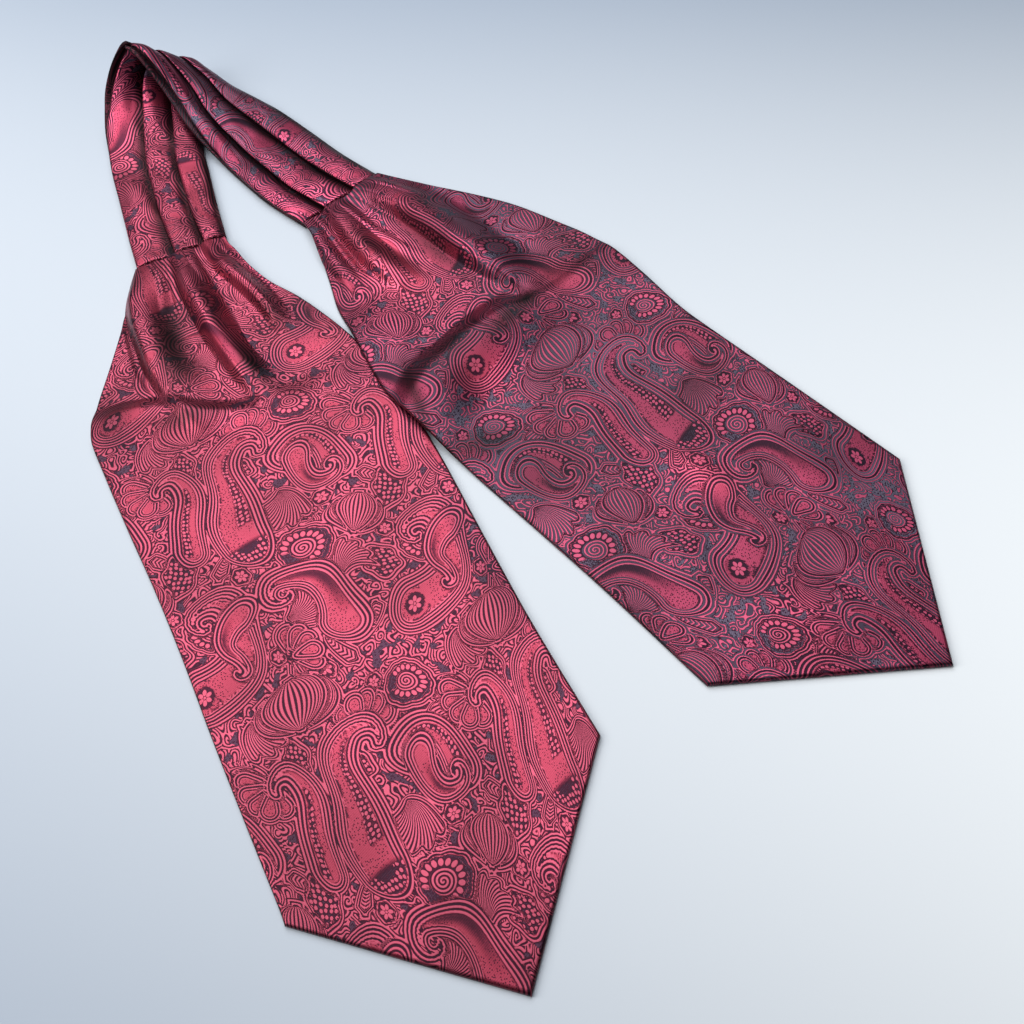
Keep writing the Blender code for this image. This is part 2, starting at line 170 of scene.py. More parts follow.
# Each dent: along, across, half length, half width, turn in degrees, height
NEAR_DENTS = (
    (306.0, -70.0, 8.0, 22.0, 12.0, -0.4), (329.0, -40.0, 7.0, 20.0, -16.0, -0.5),
    (300.0, 2.0, 16.0, 7.0, 10.0, -1.4), (262.0, -37.0, 30.0, 8.0, -4.0, -1.2),
    (344.0, -2.0, 7.0, 22.0, -2.0, -0.8), (352.0, 24.0, 9.0, 24.0, 6.0, 0.8),
    (402.0, -58.0, 26.0, 16.0, 20.0, 0.5), (452.0, -20.0, 34.0, 22.0, -14.0, -0.5),
    (498.0, 34.0, 30.0, 18.0, 22.0, 0.5), (548.0, -34.0, 30.0, 20.0, -20.0, 0.5),
    (578.0, 30.0, 22.0, 16.0, 34.0, -0.6), (604.0, -18.0, 18.0, 16.0, 10.0, -0.5),
    (430.0, 44.0, 24.0, 12.0, 8.0, -0.5), (520.0, -62.0, 24.0, 10.0, -6.0, -0.5),
    (470.0, -58.0, 18.0, 12.0, 10.0, 0.4), (390.0, 10.0, 20.0, 20.0, 0.0, 0.5),
)
FAR_DENTS = (
    (366.0, 17.0, 6.0, 7.0, 0.0, -1.8), (352.0, -30.0, 8.0, 26.0, 8.0, -0.8),
    (377.0, 60.0, 5.0, 16.0, 4.0, 0.7), (407.0, -48.0, 10.0, 18.0, -8.0, -1.0),
    (467.0, 36.0, 10.0, 20.0, 10.0, -0.9), (504.0, -3.0, 16.0, 11.0, 12.0, 0.8),
    (452.0, -18.0, 20.0, 14.0, -24.0, 0.7), (534.0, -40.0, 20.0, 12.0, 14.0, 0.6),
    (540.0, 36.0, 22.0, 14.0, -18.0, 0.6), (590.0, 8.0, 20.0, 16.0, 0.0, -0.6),
    (430.0, 40.0, 18.0, 14.0, 20.0, 0.6), (486.0, -56.0, 22.0, 9.0, 4.0, -0.7),
    (330.0, 52.0, 30.0, 10.0, -14.0, 0.7), (500.0, 56.0, 24.0, 8.0, 0.0, -0.7),
)
DENT_REACH = 1.5
print("thin creases:", len(NEAR_CREASES) + len(FAR_CREASES))
print("dents:", len(NEAR_DENTS) + len(FAR_DENTS))

# %% [markdown]
# From rows to a smooth surface
#
# Each row of a table is a place where the cloth was measured. A curve that never
# overshoots goes through the rows, and every crease is a smooth bump beside its crest.

# %% Curves and bumps
def curve_at(x, xs, ys):
    """Smooth curve through a table column that never overshoots its rows."""
    xs, ys = np.asarray(xs, float), np.asarray(ys, float)
    x = np.clip(x, xs[0], xs[-1])
    gap = np.diff(xs)
    slope = np.diff(ys) / gap
    tangent = np.zeros(len(xs))
    tangent[0], tangent[-1] = slope[0], slope[-1]
    same = slope[:-1] * slope[1:] > 0
    weight = 2.0 * slope[:-1] * slope[1:]
    total = np.where(same, slope[:-1] + slope[1:], 1.0)
    tangent[1:-1] = np.where(same, weight / total, 0.0)
    k = np.clip(np.searchsorted(xs, x, side="right") - 1, 0, len(gap) - 1)
    t = (x - xs[k]) / gap[k]
    return (ys[k] * (1 + 2 * t) * (1 - t) ** 2 + tangent[k] * gap[k] * t * (1 - t) ** 2
            + ys[k + 1] * t * t * (3 - 2 * t) - tangent[k + 1] * gap[k] * t * t * (1 - t))


def bump(u, left, right, plateau=0.0):
    """Height share at a signed distance u from a crest, with its two side widths."""
    u = np.where(np.abs(u) < plateau, 0.0, u - np.sign(u) * plateau)
    share = np.clip(np.where(u < 0, -u / left, u / right), 0.0, 1.0)
    return 0.5 * (1.0 + np.cos(math.pi * share))


def crease_height(along, across, creases):
    """Sum of the lengthwise creases at each point of a blade."""
    height = np.zeros(along.shape)
    for crease in creases:
        crest = np.array(crease["crest"])
        inside = (along >= crest[0, 0] - 1.0) & (along <= crest[-1, 0])
        line = curve_at(along, crest[:, 0], crest[:, 1])
        tall = curve_at(along, crest[:, 0], crest[:, 2])
        shape = bump(across - line, crease["steep"], crease["gentle"], crease.get("plateau", 0.0))
        height = height + np.where(inside, tall * shape, 0.0)
    return height


def buckle_height(along, across, buckle):
    """The crosswise ridge where the gathered cloth meets the flat cloth."""
    crest = np.array(buckle["crest"])
    line = curve_at(across, crest[:, 0], crest[:, 1])
    tall = curve_at(across, crest[:, 0], crest[:, 2])
    return tall * bump(along - line, buckle["rise"], buckle["fall"])


def dent_height(along, across, dents):
    """Soft ovals, up or down, on the cloth."""
    height = np.zeros(along.shape)
    for row_along, row_across, length, width, turn, tall in dents:
        c, s = math.cos(math.radians(turn)), math.sin(math.radians(turn))
        a, b = along - row_along, across - row_across
        reach = np.hypot((a * c + b * s) / (DENT_REACH * length), (b * c - a * s) / (DENT_REACH * width))
        height += tall * 0.5 * (1.0 + np.cos(math.pi * np.clip(reach, 0.0, 1.0)))
    return height


print("a bump 3 mm wide has a height share of", np.round(bump(np.array((0.0, 1.5, 3.0)), 2.0, 3.0), 2))


# %% Places on the table
def leg_frame(turn):
    """Unit vectors across and along a half that is turned from straight down the table."""
    angle = math.radians(turn)
    across = np.array((math.cos(angle), math.sin(angle)))
    along = np.array((math.sin(angle), -math.cos(angle)))
    return across, along


def place(points, turn):
    """Turn (across, along, height) of a half into table coordinates."""
    across, along = leg_frame(turn)
    flat = np.asarray(NECK_POINT) + points[..., :1] * across + points[..., 1:2] * along
    return np.concatenate([flat, points[..., 2:3]], axis=-1)


def end_along(across, end):
    """Where the pointed end cuts a line that runs along the blade."""
    (left_a, left_b), (tip_a, tip_b), (right_a, right_b) = end
    return np.interp(across, (left_b, tip_b, right_b), (left_a, tip_a, right_a))


near_tip = place(np.array((0.0, NEAR_END[1][0], 0.0)), NEAR_TURN)
print("the near blade's tip lies at", np.round(near_tip - ORIGIN_SHIFT, 1), "mm")

# %% [markdown]
# A blade as a grid
#
# Cloth is woven on a grid, so a grid is also the natural mesh for it. Rows run across
# the blade and columns run down it. Beyond the folds the rows bend little by little into
# the shape of the point, so the pointed edge is one clean row. Three tight steps of rows
# and columns along every edge give the turned edge its small round roll.

# %% Grid of one blade
ROLL_STEPS = np.array((0.0, 0.3, 0.75, 1.4))
TIP_PULL = 1.4
JOIN_TIGHT = 3.0


def blade_shares(count, width):
    """Column places from 0 to 1, with tight ones at both edges."""
    edge = ROLL_STEPS / width
    return np.concatenate([edge, np.linspace(edge[-1], 1 - edge[-1], count)[1:-1], 1 - edge[::-1]])


def blade_grid(blade, spacing, inset):
    """Across, along, height of the cloth's middle and distance to its edge, as grids."""
    table = np.array(blade["sections"])
    end = blade["end"]
    width = table[:, 2].max() - table[:, 1].min()
    share = blade_shares(int(width / spacing), width)
    tip_column = int(np.argmin(np.abs(share - 0.5)))
    bent = np.where(share < share[tip_column], share / share[tip_column] * 0.5,
                    0.5 + (share - share[tip_column]) / (1 - share[tip_column]) * 0.5)

    def edges(along):
        left = curve_at(along, table[:, 0], table[:, 1]) + inset
        right = curve_at(along, table[:, 0], table[:, 2]) - inset
        return left, right

    start = table[0, 0] + SEAM_GAP / 2
    top = np.linspace(start + ROLL_STEPS[-1], FLAT_FROM, int((FLAT_FROM - start) / spacing))
    top = np.concatenate([start + ROLL_STEPS[:-1], top])
    left, right = edges(top)
    upper_across = left[:, None] + (right - left)[:, None] * share
    upper_along = np.repeat(top[:, None], len(share), axis=1)

    left_end, right_end = end[0][1] + inset, end[2][1] - inset
    end_across = np.interp(bent, (0.0, 0.5, 1.0), (left_end, 0.0, right_end))
    end_row = end_along(end_across, end) - inset * TIP_PULL
    reach = end_row.mean() - FLAT_FROM
    part = np.linspace(0.0, 1.0 - ROLL_STEPS[-1] / reach, int(reach / spacing))[1:]
    part = np.concatenate([part, 1.0 - ROLL_STEPS[-2::-1] / reach])[:, None]
    lower_along = FLAT_FROM + (end_row - FLAT_FROM) * part
    left, right = edges(lower_along)
    left, right = left[:, :1], right[:, -1:]
    even = left + (right - left) * share
    pointed = np.where(bent < 0.5, left * (1 - 2 * bent), right * (2 * bent - 1))
    lower_across = even + (pointed - even) * part
    across = np.concatenate([upper_across, lower_across])
    along = np.concatenate([upper_along, lower_along])

    side = np.minimum(share, 1.0 - share) * width
    ends = np.concatenate([(top - start) * JOIN_TIGHT, (1.0 - part[:, 0]) * reach])
    edge = np.minimum(side[None, :], ends[:, None])
    lift = curve_at(along, table[:, 0], table[:, 3])
    height = lift + crease_height(along, across, blade["folds"].values())
    height = height + buckle_height(along, across, blade["buckle"])
    height = height + crease_height(along, across, blade["creases"])
    height = np.maximum(height + dent_height(along, across, blade["dents"]), 0.0)
    return across, along, height + BLADE_THICK / 2, edge


first_columns = blade_shares(100, 150.0)[:5] * 150.0
print("the first columns stand at", np.round(first_columns, 1), "mm from the edge")

# %% [markdown]
# Sheen and shade
#
# The same silk looks red where its red threads face the light and grey-plum where they
# turn away, and it looks deep and dark down in a fold. Both are painted into the colour
# here, a painted sheen and a painted shade, listed as soft ovals in the way the dents are,
# so that the cloth's look can follow its creases softly. A shade below 0 is a painted
# highlight.

# %% Where painted sheen turns the cloth grey, and where painted shade darkens it
# Each row: along, across, half length, half width, turn in degrees, how much greyer by painted sheen or
# darker by painted shade; a shade below 0 is a painted highlight
NEAR_SHEEN_PATCHES = (
    (292.0, 32.0, 22.0, 9.0, -24.0, 0.6), (330.0, -80.0, 22.0, 10.0, 10.0, 0.3),
    (470.0, 56.0, 40.0, 7.0, 4.0, 0.6), (560.0, 20.0, 14.0, 10.0, 0.0, 0.25),
    (318.0, 2.0, 12.0, 12.0, 0.0, 0.55), (345.0, 40.0, 16.0, 10.0, 0.0, 0.4),
    (306.0, -12.0, 8.0, 7.0, 0.0, 0.4), (400.0, -70.0, 30.0, 6.0, 4.0, 0.3),
)
FAR_SHEEN_PATCHES = (
    (280.0, -14.0, 50.0, 16.0, 0.0, -0.6), (300.0, 44.0, 60.0, 18.0, -20.0, 0.4),
    (392.0, -30.0, 14.0, 18.0, 10.0, -0.6), (505.0, 0.0, 22.0, 9.0, 6.0, -0.6),
    (372.0, 40.0, 14.0, 20.0, 0.0, -0.4), (430.0, -54.0, 34.0, 12.0, 0.0, 0.3),
    (590.0, -30.0, 30.0, 16.0, -30.0, -0.35), (560.0, 46.0, 40.0, 14.0, 0.0, 0.3),
    (268.0, 20.0, 26.0, 7.0, 4.0, -0.4), (430.0, 20.0, 34.0, 24.0, 0.0, 0.25),
    (304.0, -14.0, 52.0, 42.0, 0.0, -0.5),
)
NEAR_SHADES = (
    (278.0, -39.0, 38.0, 9.0, -9.0, 0.9), (302.0, -34.0, 12.0, 9.0, 0.0, 0.4),
    (266.0, -11.5, 28.0, 6.0, 1.0, 0.7), (316.0, -5.5, 20.0, 5.0, 12.0, 0.85),
    (284.0, 13.5, 22.0, 3.5, 17.0, 0.6), (332.0, -48.0, 5.0, 20.0, -18.0, 0.5),
    (268.0, -58.0, 30.0, 4.0, 6.0, 0.3), (234.0, 1.0, 12.0, 4.0, 10.0, 0.5),
    (262.0, -25.5, 24.0, 2.6, 0.0, 0.5), (288.0, 34.0, 24.0, 7.0, 22.0, 0.25),
    (278.0, -49.5, 36.0, 3.0, -2.0, -0.4), (268.0, -20.3, 28.0, 2.6, 4.0, -0.4),
    (300.0, -14.5, 12.0, 5.0, 20.0, -0.35), (268.0, 6.0, 22.0, 4.0, 17.0, -0.3),
    (346.0, -34.0, 5.0, 26.0, -14.0, -0.25), (322.0, 26.0, 10.0, 12.0, 0.0, -0.15),
    (322.0, -82.0, 28.0, 13.0, 0.0, 0.45), (470.0, 54.0, 60.0, 7.0, 0.0, 0.2),
    (630.0, 0.0, 60.0, 100.0, 0.0, 0.15), (250.0, -4.0, 32.0, 30.0, 0.0, -0.42),
    (612.0, 40.0, 30.0, 34.0, 0.0, -0.2), (560.0, -56.0, 40.0, 22.0, 0.0, 0.2),
)
FAR_SHADES = (
    (296.0, 11.5, 52.0, 6.5, -2.0, 0.8), (284.0, -11.0, 26.0, 5.0, 14.0, 0.7),
    (368.0, -30.0, 8.0, 18.0, 8.0, 0.65), (376.0, 2.0, 7.0, 20.0, 10.0, 0.8),
    (372.0, 18.0, 8.0, 7.0, 0.0, 0.6), (378.0, -62.0, 26.0, 4.0, -24.0, 0.75),
    (420.0, -58.0, 9.0, 22.0, -28.0, 0.55), (268.0, 32.0, 24.0, 5.0, -18.0, 0.35),
    (470.0, 36.0, 12.0, 20.0, 10.0, 0.35), (366.0, -50.0, 10.0, 8.0, 0.0, 0.2),
    (392.0, -22.0, 8.0, 26.0, 8.0, -0.7), (300.0, -24.0, 30.0, 6.0, 6.0, -0.25),
    (262.0, 21.0, 26.0, 4.0, 4.0, -0.35), (268.0, -3.0, 26.0, 4.0, 0.0, -0.3),
    (506.0, -2.0, 16.0, 6.0, 8.0, -0.35), (340.0, 66.0, 70.0, 7.0, -14.0, 0.3),
    (436.0, -6.0, 34.0, 50.0, 0.0, 0.2), (452.0, -46.0, 26.0, 22.0, -20.0, 0.38),
    (272.0, 0.0, 44.0, 50.0, 0.0, -0.4), (340.0, -34.0, 26.0, 26.0, 0.0, -0.3),
    (600.0, 0.0, 60.0, 90.0, 0.0, -0.28), (474.0, 14.0, 26.0, 28.0, 0.0, 0.2),
    (324.0, 6.0, 34.0, 26.0, 0.0, -0.15),
)
# Painted shade along every edge of the cloth, and how far in it reaches in millimetres
EDGE_SHADE, EDGE_REACH = 0.5, 1.8
# grey is the painted sheen that each blade starts from: low on the near blade, high on the far one
NEAR = dict(
    sections=NEAR_SECTIONS, end=NEAR_END, turn=NEAR_TURN, folds=NEAR_FOLDS, buckle=NEAR_BUCKLE,
    creases=NEAR_CREASES, dents=NEAR_DENTS, grey=0.05, patches=NEAR_SHEEN_PATCHES, shades=NEAR_SHADES)
FAR = dict(
    sections=FAR_SECTIONS, end=FAR_END, turn=FAR_TURN, folds=FAR_FOLDS, buckle=FAR_BUCKLE,
    creases=FAR_CREASES, dents=FAR_DENTS, grey=0.78, patches=FAR_SHEEN_PATCHES, shades=FAR_SHADES)
changes = [row for half in (NEAR, FAR) for row in half["patches"] + half["shades"]]
print("soft changes of sheen and shade:", len(changes))

# %% [markdown]
# A panel as a thin shell
#
# Each blade is two layers of silk, sewn together along the edge and turned. The side
# that shows gets the fine grid. The side that lies inside is coarse, because nobody can
# see it, and the two are joined round the rim, so that every piece is a closed skin.
# At the edge the outer layer rolls round the seam and covers the layer behind it.

# %% Shells from two grids
ROLL_REACH = 1.4
ROLL_DROP = 1.75
BACK_ROLL_DROP = 0.7
LIP = 0.8
LIP_DEPTH = 0.65
UV_MM = 100.0


def grid_normals(grid):
    """Upward unit normals of a grid of points."""
    normal = np.cross(np.gradient(grid, axis=1), np.gradient(grid, axis=0))
    normal = normal * np.sign(normal[..., 2:3])
    return normal / np.linalg.norm(normal, axis=-1, keepdims=True)


def rolled(edge, drop):
    """How far a layer has turned down at a distance from the cloth's edge."""
    share = 1.0 - np.clip(edge / ROLL_REACH, 0.0, 1.0)
    return drop * (1.0 - np.sqrt(1.0 - share * share))


def coarse(count, step):
    """Rows or columns that the hidden side keeps of the fine ones, edges included."""
    return np.array([0, 2, *range(3, count - 3, step), count - 4, count - 3, count - 1])


def cloth_lengths(points, across, along):
    """Flat place of each point in the cut piece: lengths along the cloth's own surface."""
    over = np.linalg.norm(np.diff(points, axis=1), axis=-1)
    over = np.concatenate([np.zeros((len(over), 1)), np.cumsum(over, axis=1)], axis=1)
    middle = points.shape[1] // 2
    u = over - over[:, middle:middle + 1] + across[:, middle:middle + 1]
    down = np.linalg.norm(np.diff(points, axis=0), axis=-1)
    down = np.concatenate([np.zeros((1, down.shape[1])), np.cumsum(down, axis=0)])
    v = down - down[-1:] + along[-1:]
    return u, v


def new_piece(name, verts, faces, flat_place, lustre, shade):
    """A named closed mesh in metres, with its flat place in the cloth as a UV map."""
    mesh = bpy.data.meshes.new(name)
    mesh.from_pydata(((verts - ORIGIN_SHIFT) * METRE).tolist(), [], faces)
    shape = bmesh.new()
    shape.from_mesh(mesh)
    bmesh.ops.recalc_face_normals(shape, faces=shape.faces)
    shape.to_mesh(mesh)
    shape.free()
    mesh.shade_smooth()
    made = in_scene(name, mesh)
    corner = np.zeros(len(mesh.loops), np.int32)
    mesh.loops.foreach_get("vertex_index", corner)
    layer = mesh.uv_layers.new(name="cloth")
    layer.data.foreach_set("uv", (flat_place[corner] / UV_MM).astype(np.float32).ravel())
    woven = weave(flat_place[:, 0], flat_place[:, 1])
    woven["shade"] = np.clip(shade, -1.0, 1.0)
    for title, names in (("lines", ("edge", "rib", "kind")), ("zones", ("ribbed", "field", "dark")),
                         ("spot", ("x", "y", "shade"))):
        values = np.stack([woven[name] for name in names], axis=-1)
        carried = mesh.attributes.new(title, "FLOAT_VECTOR", "POINT")
        carried.data.foreach_set("vector", values.astype(np.float32).ravel())
    carried = mesh.attributes.new("lustre", "FLOAT", "POINT")
    carried.data.foreach_set("value", np.clip(lustre, 0.0, 1.0).astype(np.float32).ravel())
    return made


def panel_shell(name, blade, spacing, inset, shows_up, offset):
    """One cut panel of a blade as a closed shell."""
    across, along, height, edge = blade_grid(blade, spacing, inset)
    middle = place(np.stack([across, along, height], axis=-1), blade["turn"])
    normal = grid_normals(middle)
    outward = 1.0 if shows_up else -1.0
    show = PANEL_GAP / 2 + PANEL_WALL - rolled(edge, ROLL_DROP if shows_up else BACK_ROLL_DROP)
    inner = np.where(edge < LIP, -LIP_DEPTH if shows_up else PANEL_GAP / 2, PANEL_GAP / 2)
    seen = middle + normal * (outward * show)[..., None]
    hidden = middle + normal * (outward * inner)[..., None]
    seen[..., 2] = np.maximum(seen[..., 2], BLADE_THICK / 2 + outward * show)
    hidden[..., 2] = np.maximum(hidden[..., 2], BLADE_THICK / 2 + outward * inner)
    u, v = cloth_lengths(seen, across, along)
    flat = np.stack([u + offset[0], v + offset[1]], axis=-1)

    count, width = seen.shape[:2]
    rows, columns = coarse(count, 4), coarse(width, 4)
    fine = np.arange(count * width).reshape(count, width)
    rough = count * width + np.arange(len(rows) * len(columns)).reshape(len(rows), len(columns))
    verts = np.concatenate([seen.reshape(-1, 3), hidden[np.ix_(rows, columns)].reshape(-1, 3)])
    places = np.concatenate([flat.reshape(-1, 2), flat[np.ix_(rows, columns)].reshape(-1, 2)])
    faces = np.stack([fine[:-1, :-1], fine[1:, :-1], fine[1:, 1:], fine[:-1, 1:]], -1)
    faces = faces.reshape(-1, 4).tolist()
    back = np.stack([rough[:-1, :-1], rough[:-1, 1:], rough[1:, 1:], rough[1:, :-1]], -1)
    faces += back.reshape(-1, 4).tolist()
    for row, line in ((0, rough[0]), (count - 1, rough[-1])):
        for k in range(len(columns) - 1):
            run = fine[row, columns[k]:columns[k + 1] + 1].tolist()
            faces.append(run + [int(line[k + 1]), int(line[k])])
    for column, line in ((0, rough[:, 0]), (width - 1, rough[:, -1])):
        for k in range(len(rows) - 1):
            run = fine[rows[k]:rows[k + 1] + 1, column].tolist()
            faces.append(run + [int(line[k + 1]), int(line[k])])
    kept = np.ix_(rows, columns)
    # Painted sheen: the blade's own grey and its sheen patches. Painted shade: its shade rows, and a band of
    # it along every edge.
    grey = blade["grey"] + dent_height(along, across, blade["patches"])
    shade = dent_height(along, across, blade["shades"])
    shade += EDGE_SHADE * np.clip(1.0 - edge / EDGE_REACH, 0.0, 1.0)
    greys = np.concatenate([grey.ravel(), grey[kept].ravel()])
    shades = np.concatenate([shade.ravel(), shade[kept].ravel()])
    piece = new_piece(name, verts, faces, places, greys, shades)
    print(name, "has", len(verts), "points")
    return piece


print("a rolled edge turns down by", np.round(rolled(np.array((0.0, 0.5, 1.4)), ROLL_DROP), 2),
      "mm at 0, 0.5 and 1.4 mm")

# %% [markdown]
# The pleated band
#
# The band is a strip of silk folded into three pleats that all face the same way. Seen
# from its end it is a stack of flat Z shapes: each pleat has a round nose that stands
# over the groove of the pleat beside it. That outline is drawn once, and carried along
# the band as it rises over the fold, so the pleats run through without a break.

# %% Sections of the band: left and right point, pleat places, set back edge, pleat step
NECK_ROWS = (
    (-163.6, 91.8, 2.7, -113.2, 104.7, 2.7, 0.44, 0.77, 0.0, 2.0),
    (-169.9, 123.4, 2.7, -118.0, 136.2, 2.7, 0.40, 0.72, 0.0, 2.0),
    (-175.2, 153.0, 2.7, -121.9, 166.2, 2.7, 0.38, 0.70, 0.0, 2.0),
    (-179.6, 177.5, 2.9, -124.7, 184.5, 2.7, 0.39, 0.71, 0.0, 2.0),
    (-182.6, 200.6, 4.8, -127.0, 203.0, 2.7, 0.42, 0.74, 0.8, 2.0),
    (-183.0, 214.0, 8.6, -129.0, 219.0, 2.7, 0.44, 0.76, 2.0, 1.8),
    (-181.2, 226.0, 14.0, -130.2, 231.5, 2.8, 0.44, 0.76, 3.6, 1.6),
    (-178.0, 236.0, 20.6, -130.8, 241.6, 2.9, 0.43, 0.75, 4.4, 1.4),
    (-172.0, 244.4, 27.8, -131.2, 250.6, 3.3, 0.42, 0.74, 4.4, 1.2),
    (-164.8, 248.2, 34.4, -130.6, 257.0, 4.2, 0.42, 0.74, 4.0, 1.0),
    (-158.4, 247.0, 39.0, -127.6, 259.4, 6.8, 0.42, 0.74, 3.6, 0.9),
    (-152.2, 239.8, 37.6, -123.4, 257.4, 9.4, 0.42, 0.74, 4.0, 0.9),
    (-146.4, 230.4, 30.8, -118.2, 252.4, 8.4, 0.42, 0.74, 4.4, 0.9),
    (-141.2, 221.4, 23.8, -112.4, 246.4, 6.2, 0.41, 0.74, 4.4, 1.0),
    (-136.6, 211.4, 17.6, -105.6, 238.6, 4.4, 0.38, 0.72, 4.2, 1.2),
    (-131.6, 199.6, 12.4, -98.0, 230.2, 3.2, 0.34, 0.69, 3.4, 1.4),
    (-124.6, 186.0, 9.0, -88.8, 220.2, 2.7, 0.31, 0.67, 2.2, 1.7),
    (-117.2, 173.6, 5.8, -79.8, 209.6, 2.7, 0.30, 0.66, 1.0, 2.0),
    (-109.4, 160.4, 3.2, -71.0, 197.4, 2.7, 0.29, 0.66, 0.2, 2.0),
    (-98.6, 142.0, 2.7, -57.0, 176.2, 2.7, 0.29, 0.66, 0.0, 2.0),
    (-87.4, 124.4, 2.7, -41.8, 153.0, 2.7, 0.29, 0.67, 0.0, 2.0),
    (-68.6, 100.2, 2.7, -23.6, 129.0, 2.7, 0.30, 0.69, 0.0, 2.0),
)
CENTRE_BACK = 10
RING_STEPS = 28
HIDDEN_FOLD = 17.0
CROWN = 0.7
GROOVE_SHADE, GROOVE_SHADE_DEPTH = 0.8, 1.5
BAND_LIGHT = (
    # length along the band, how much painted light, how much painted grey sheen
    (0.0, 0.10, 0.05), (90.0, 0.35, 0.15), (150.0, 0.55, 0.5), (200.0, 0.10, 1.0),
    (250.0, 0.45, 0.9), (330.0, 0.95, 0.45), (480.0, 0.75, 0.3))


def rounded_rows(points, steps):
    """Smooth rows between the given rows, with the end rows kept."""
    table = np.asarray(points, float)
    padded = np.concatenate([[2 * table[0] - table[1]], table, [2 * table[-1] - table[-2]]])
    rows = []
    for k in range(len(table) - 1):
        p0, p1, p2, p3 = padded[k:k + 4]
        for t in np.arange(steps) / steps:
            rows.append(0.5 * (2 * p1 + (p2 - p0) * t + (2 * p0 - 5 * p1 + 4 * p2 - p3) * t * t
                               + (3 * p1 - p0 - 3 * p2 + p3) * t ** 3))
    rows.append(table[-1])
    return np.array(rows)


def band_light(length):
    """How much painted light and how much painted grey sheen the band gets at a length."""
    at, lift, grey = np.array(BAND_LIGHT).T
    return np.interp(length, at, lift), np.interp(length, at, grey)


print("measured sections:", len(NECK_ROWS), "drawn sections:", len(rounded_rows(NECK_ROWS, RING_STEPS)))


# %% The band's outline, point by point
# Where the seam lies under the band, and the outline's rows at the bottom of each groove
SEAM_SHARE = 0.52
GROOVE_ROWS = (14, 22, 31)


def band_outline(width, second, third, setback, step):
    """Rows of: place from the left edge, height over the middle, points to the next row."""
    half = BAND_THICK / 2
    seam = width * SEAM_SHARE
    rows = [
        (width - 1.2, -half, 12), (width * 0.8, -half + 0.1, 14), (seam + 1.6, -half + 0.15, 2),
        (seam + 0.2, -half + 0.3, 2), (seam + 0.3, -half + 0.75, 2), (seam - 0.4, -half + 0.2, 2),
        (seam - 2.0, -half, 14), (width * 0.22, -half + 0.1, 12), (1.2, -half, 2),
        (0.3, -half + 0.5, 2), (0.0, -half + 1.3, 2), (0.35, -0.5, 2),
        (0.8 + setback * 0.55, -0.35, 2), (1.3 + setback, -0.2, 2), (setback + 0.5, 0.25, 2),
        (setback + 0.15, 1.1, 2), (setback + 0.55, half - 0.45, 2), (setback + 1.8, half, 5),
    ]
    start = setback + 1.8
    for share in (second, third):
        nose = share * width
        rows += [
            (start + (nose - start) * 0.32, half + CROWN * 0.9, 8),
            (start + (nose - start) * 0.68, half - step * 0.3, 5),
            (nose - 2.2, half - step * 0.95, 2), (nose - 0.2, half - step - 0.55, 2),
            (nose + 1.5, half - step - 0.6, 2), (nose + 0.5, half - step * 0.66, 2),
            (nose - 0.1, half - step * 0.3, 2), (nose + 0.35, half + CROWN * 0.2, 2),
            (nose + 1.6, half + CROWN * 0.7, 5),
        ]
        start = nose + 1.6
    rows += [
        (start + (width - start) * 0.4, half + CROWN * 0.8, 6),
        (start + (width - start) * 0.74, half - step * 0.35, 4), (width - 1.3, half - step, 2),
        (width - 0.35, half - step - 0.6, 2), (width, -0.1, 2), (width - 0.05, -1.5, 2),
        (width - 0.5, -half + 0.35, 2),
    ]
    return np.array(rows)


def fine_outline(rows):
    """Closed smooth outline through the rows, with the point counts that they state."""
    size = len(rows)
    points = []
    for k in range(size):
        p0, p1, p2, p3 = (rows[(k + j) % size, :2] for j in (-1, 0, 1, 2))
        run = np.linalg.norm(p2 - p1)
        ahead = (p2 - p0) / max(np.linalg.norm(p2 - p0), 1e-6) * run
        after = (p3 - p1) / max(np.linalg.norm(p3 - p1), 1e-6) * run
        for t in np.arange(int(rows[k, 2])) / rows[k, 2]:
            h1, h2 = 2 * t ** 3 - 3 * t ** 2 + 1, t ** 3 - 2 * t ** 2 + t
            h3, h4 = 3 * t ** 2 - 2 * t ** 3, t ** 3 - t ** 2
            points.append(h1 * p1 + h2 * ahead + h3 * p2 + h4 * after)
    return np.array(points)


def hidden_cloth(rows):
    """Cloth that each pleat swallows, added to the flat place from that point on."""
    counts = rows[:, 2].astype(int)
    starts = np.concatenate([[0], np.cumsum(counts)])
    added = np.zeros(starts[-1])
    for groove in GROOVE_ROWS:
        added[starts[groove]:] += HIDDEN_FOLD
    return added


print("points round the band:", len(fine_outline(band_outline(53.0, *NECK_ROWS[0][6:]))))


# %% One half of the band
WRINKLES = (
    # size, waves across a width, waves along 100 mm, phase
    (0.22, 1.3, 1.7, 0.4), (0.16, 2.6, -1.1, 2.1), (0.12, 3.9, 2.9, 4.0), (0.10, 0.7, 4.3, 1.2),
)
WRINKLE_RUN = 100.0
CALM_END = 6.0
BAND_ROLL_DROP = 1.0
GROOVE_FROM = 0.3


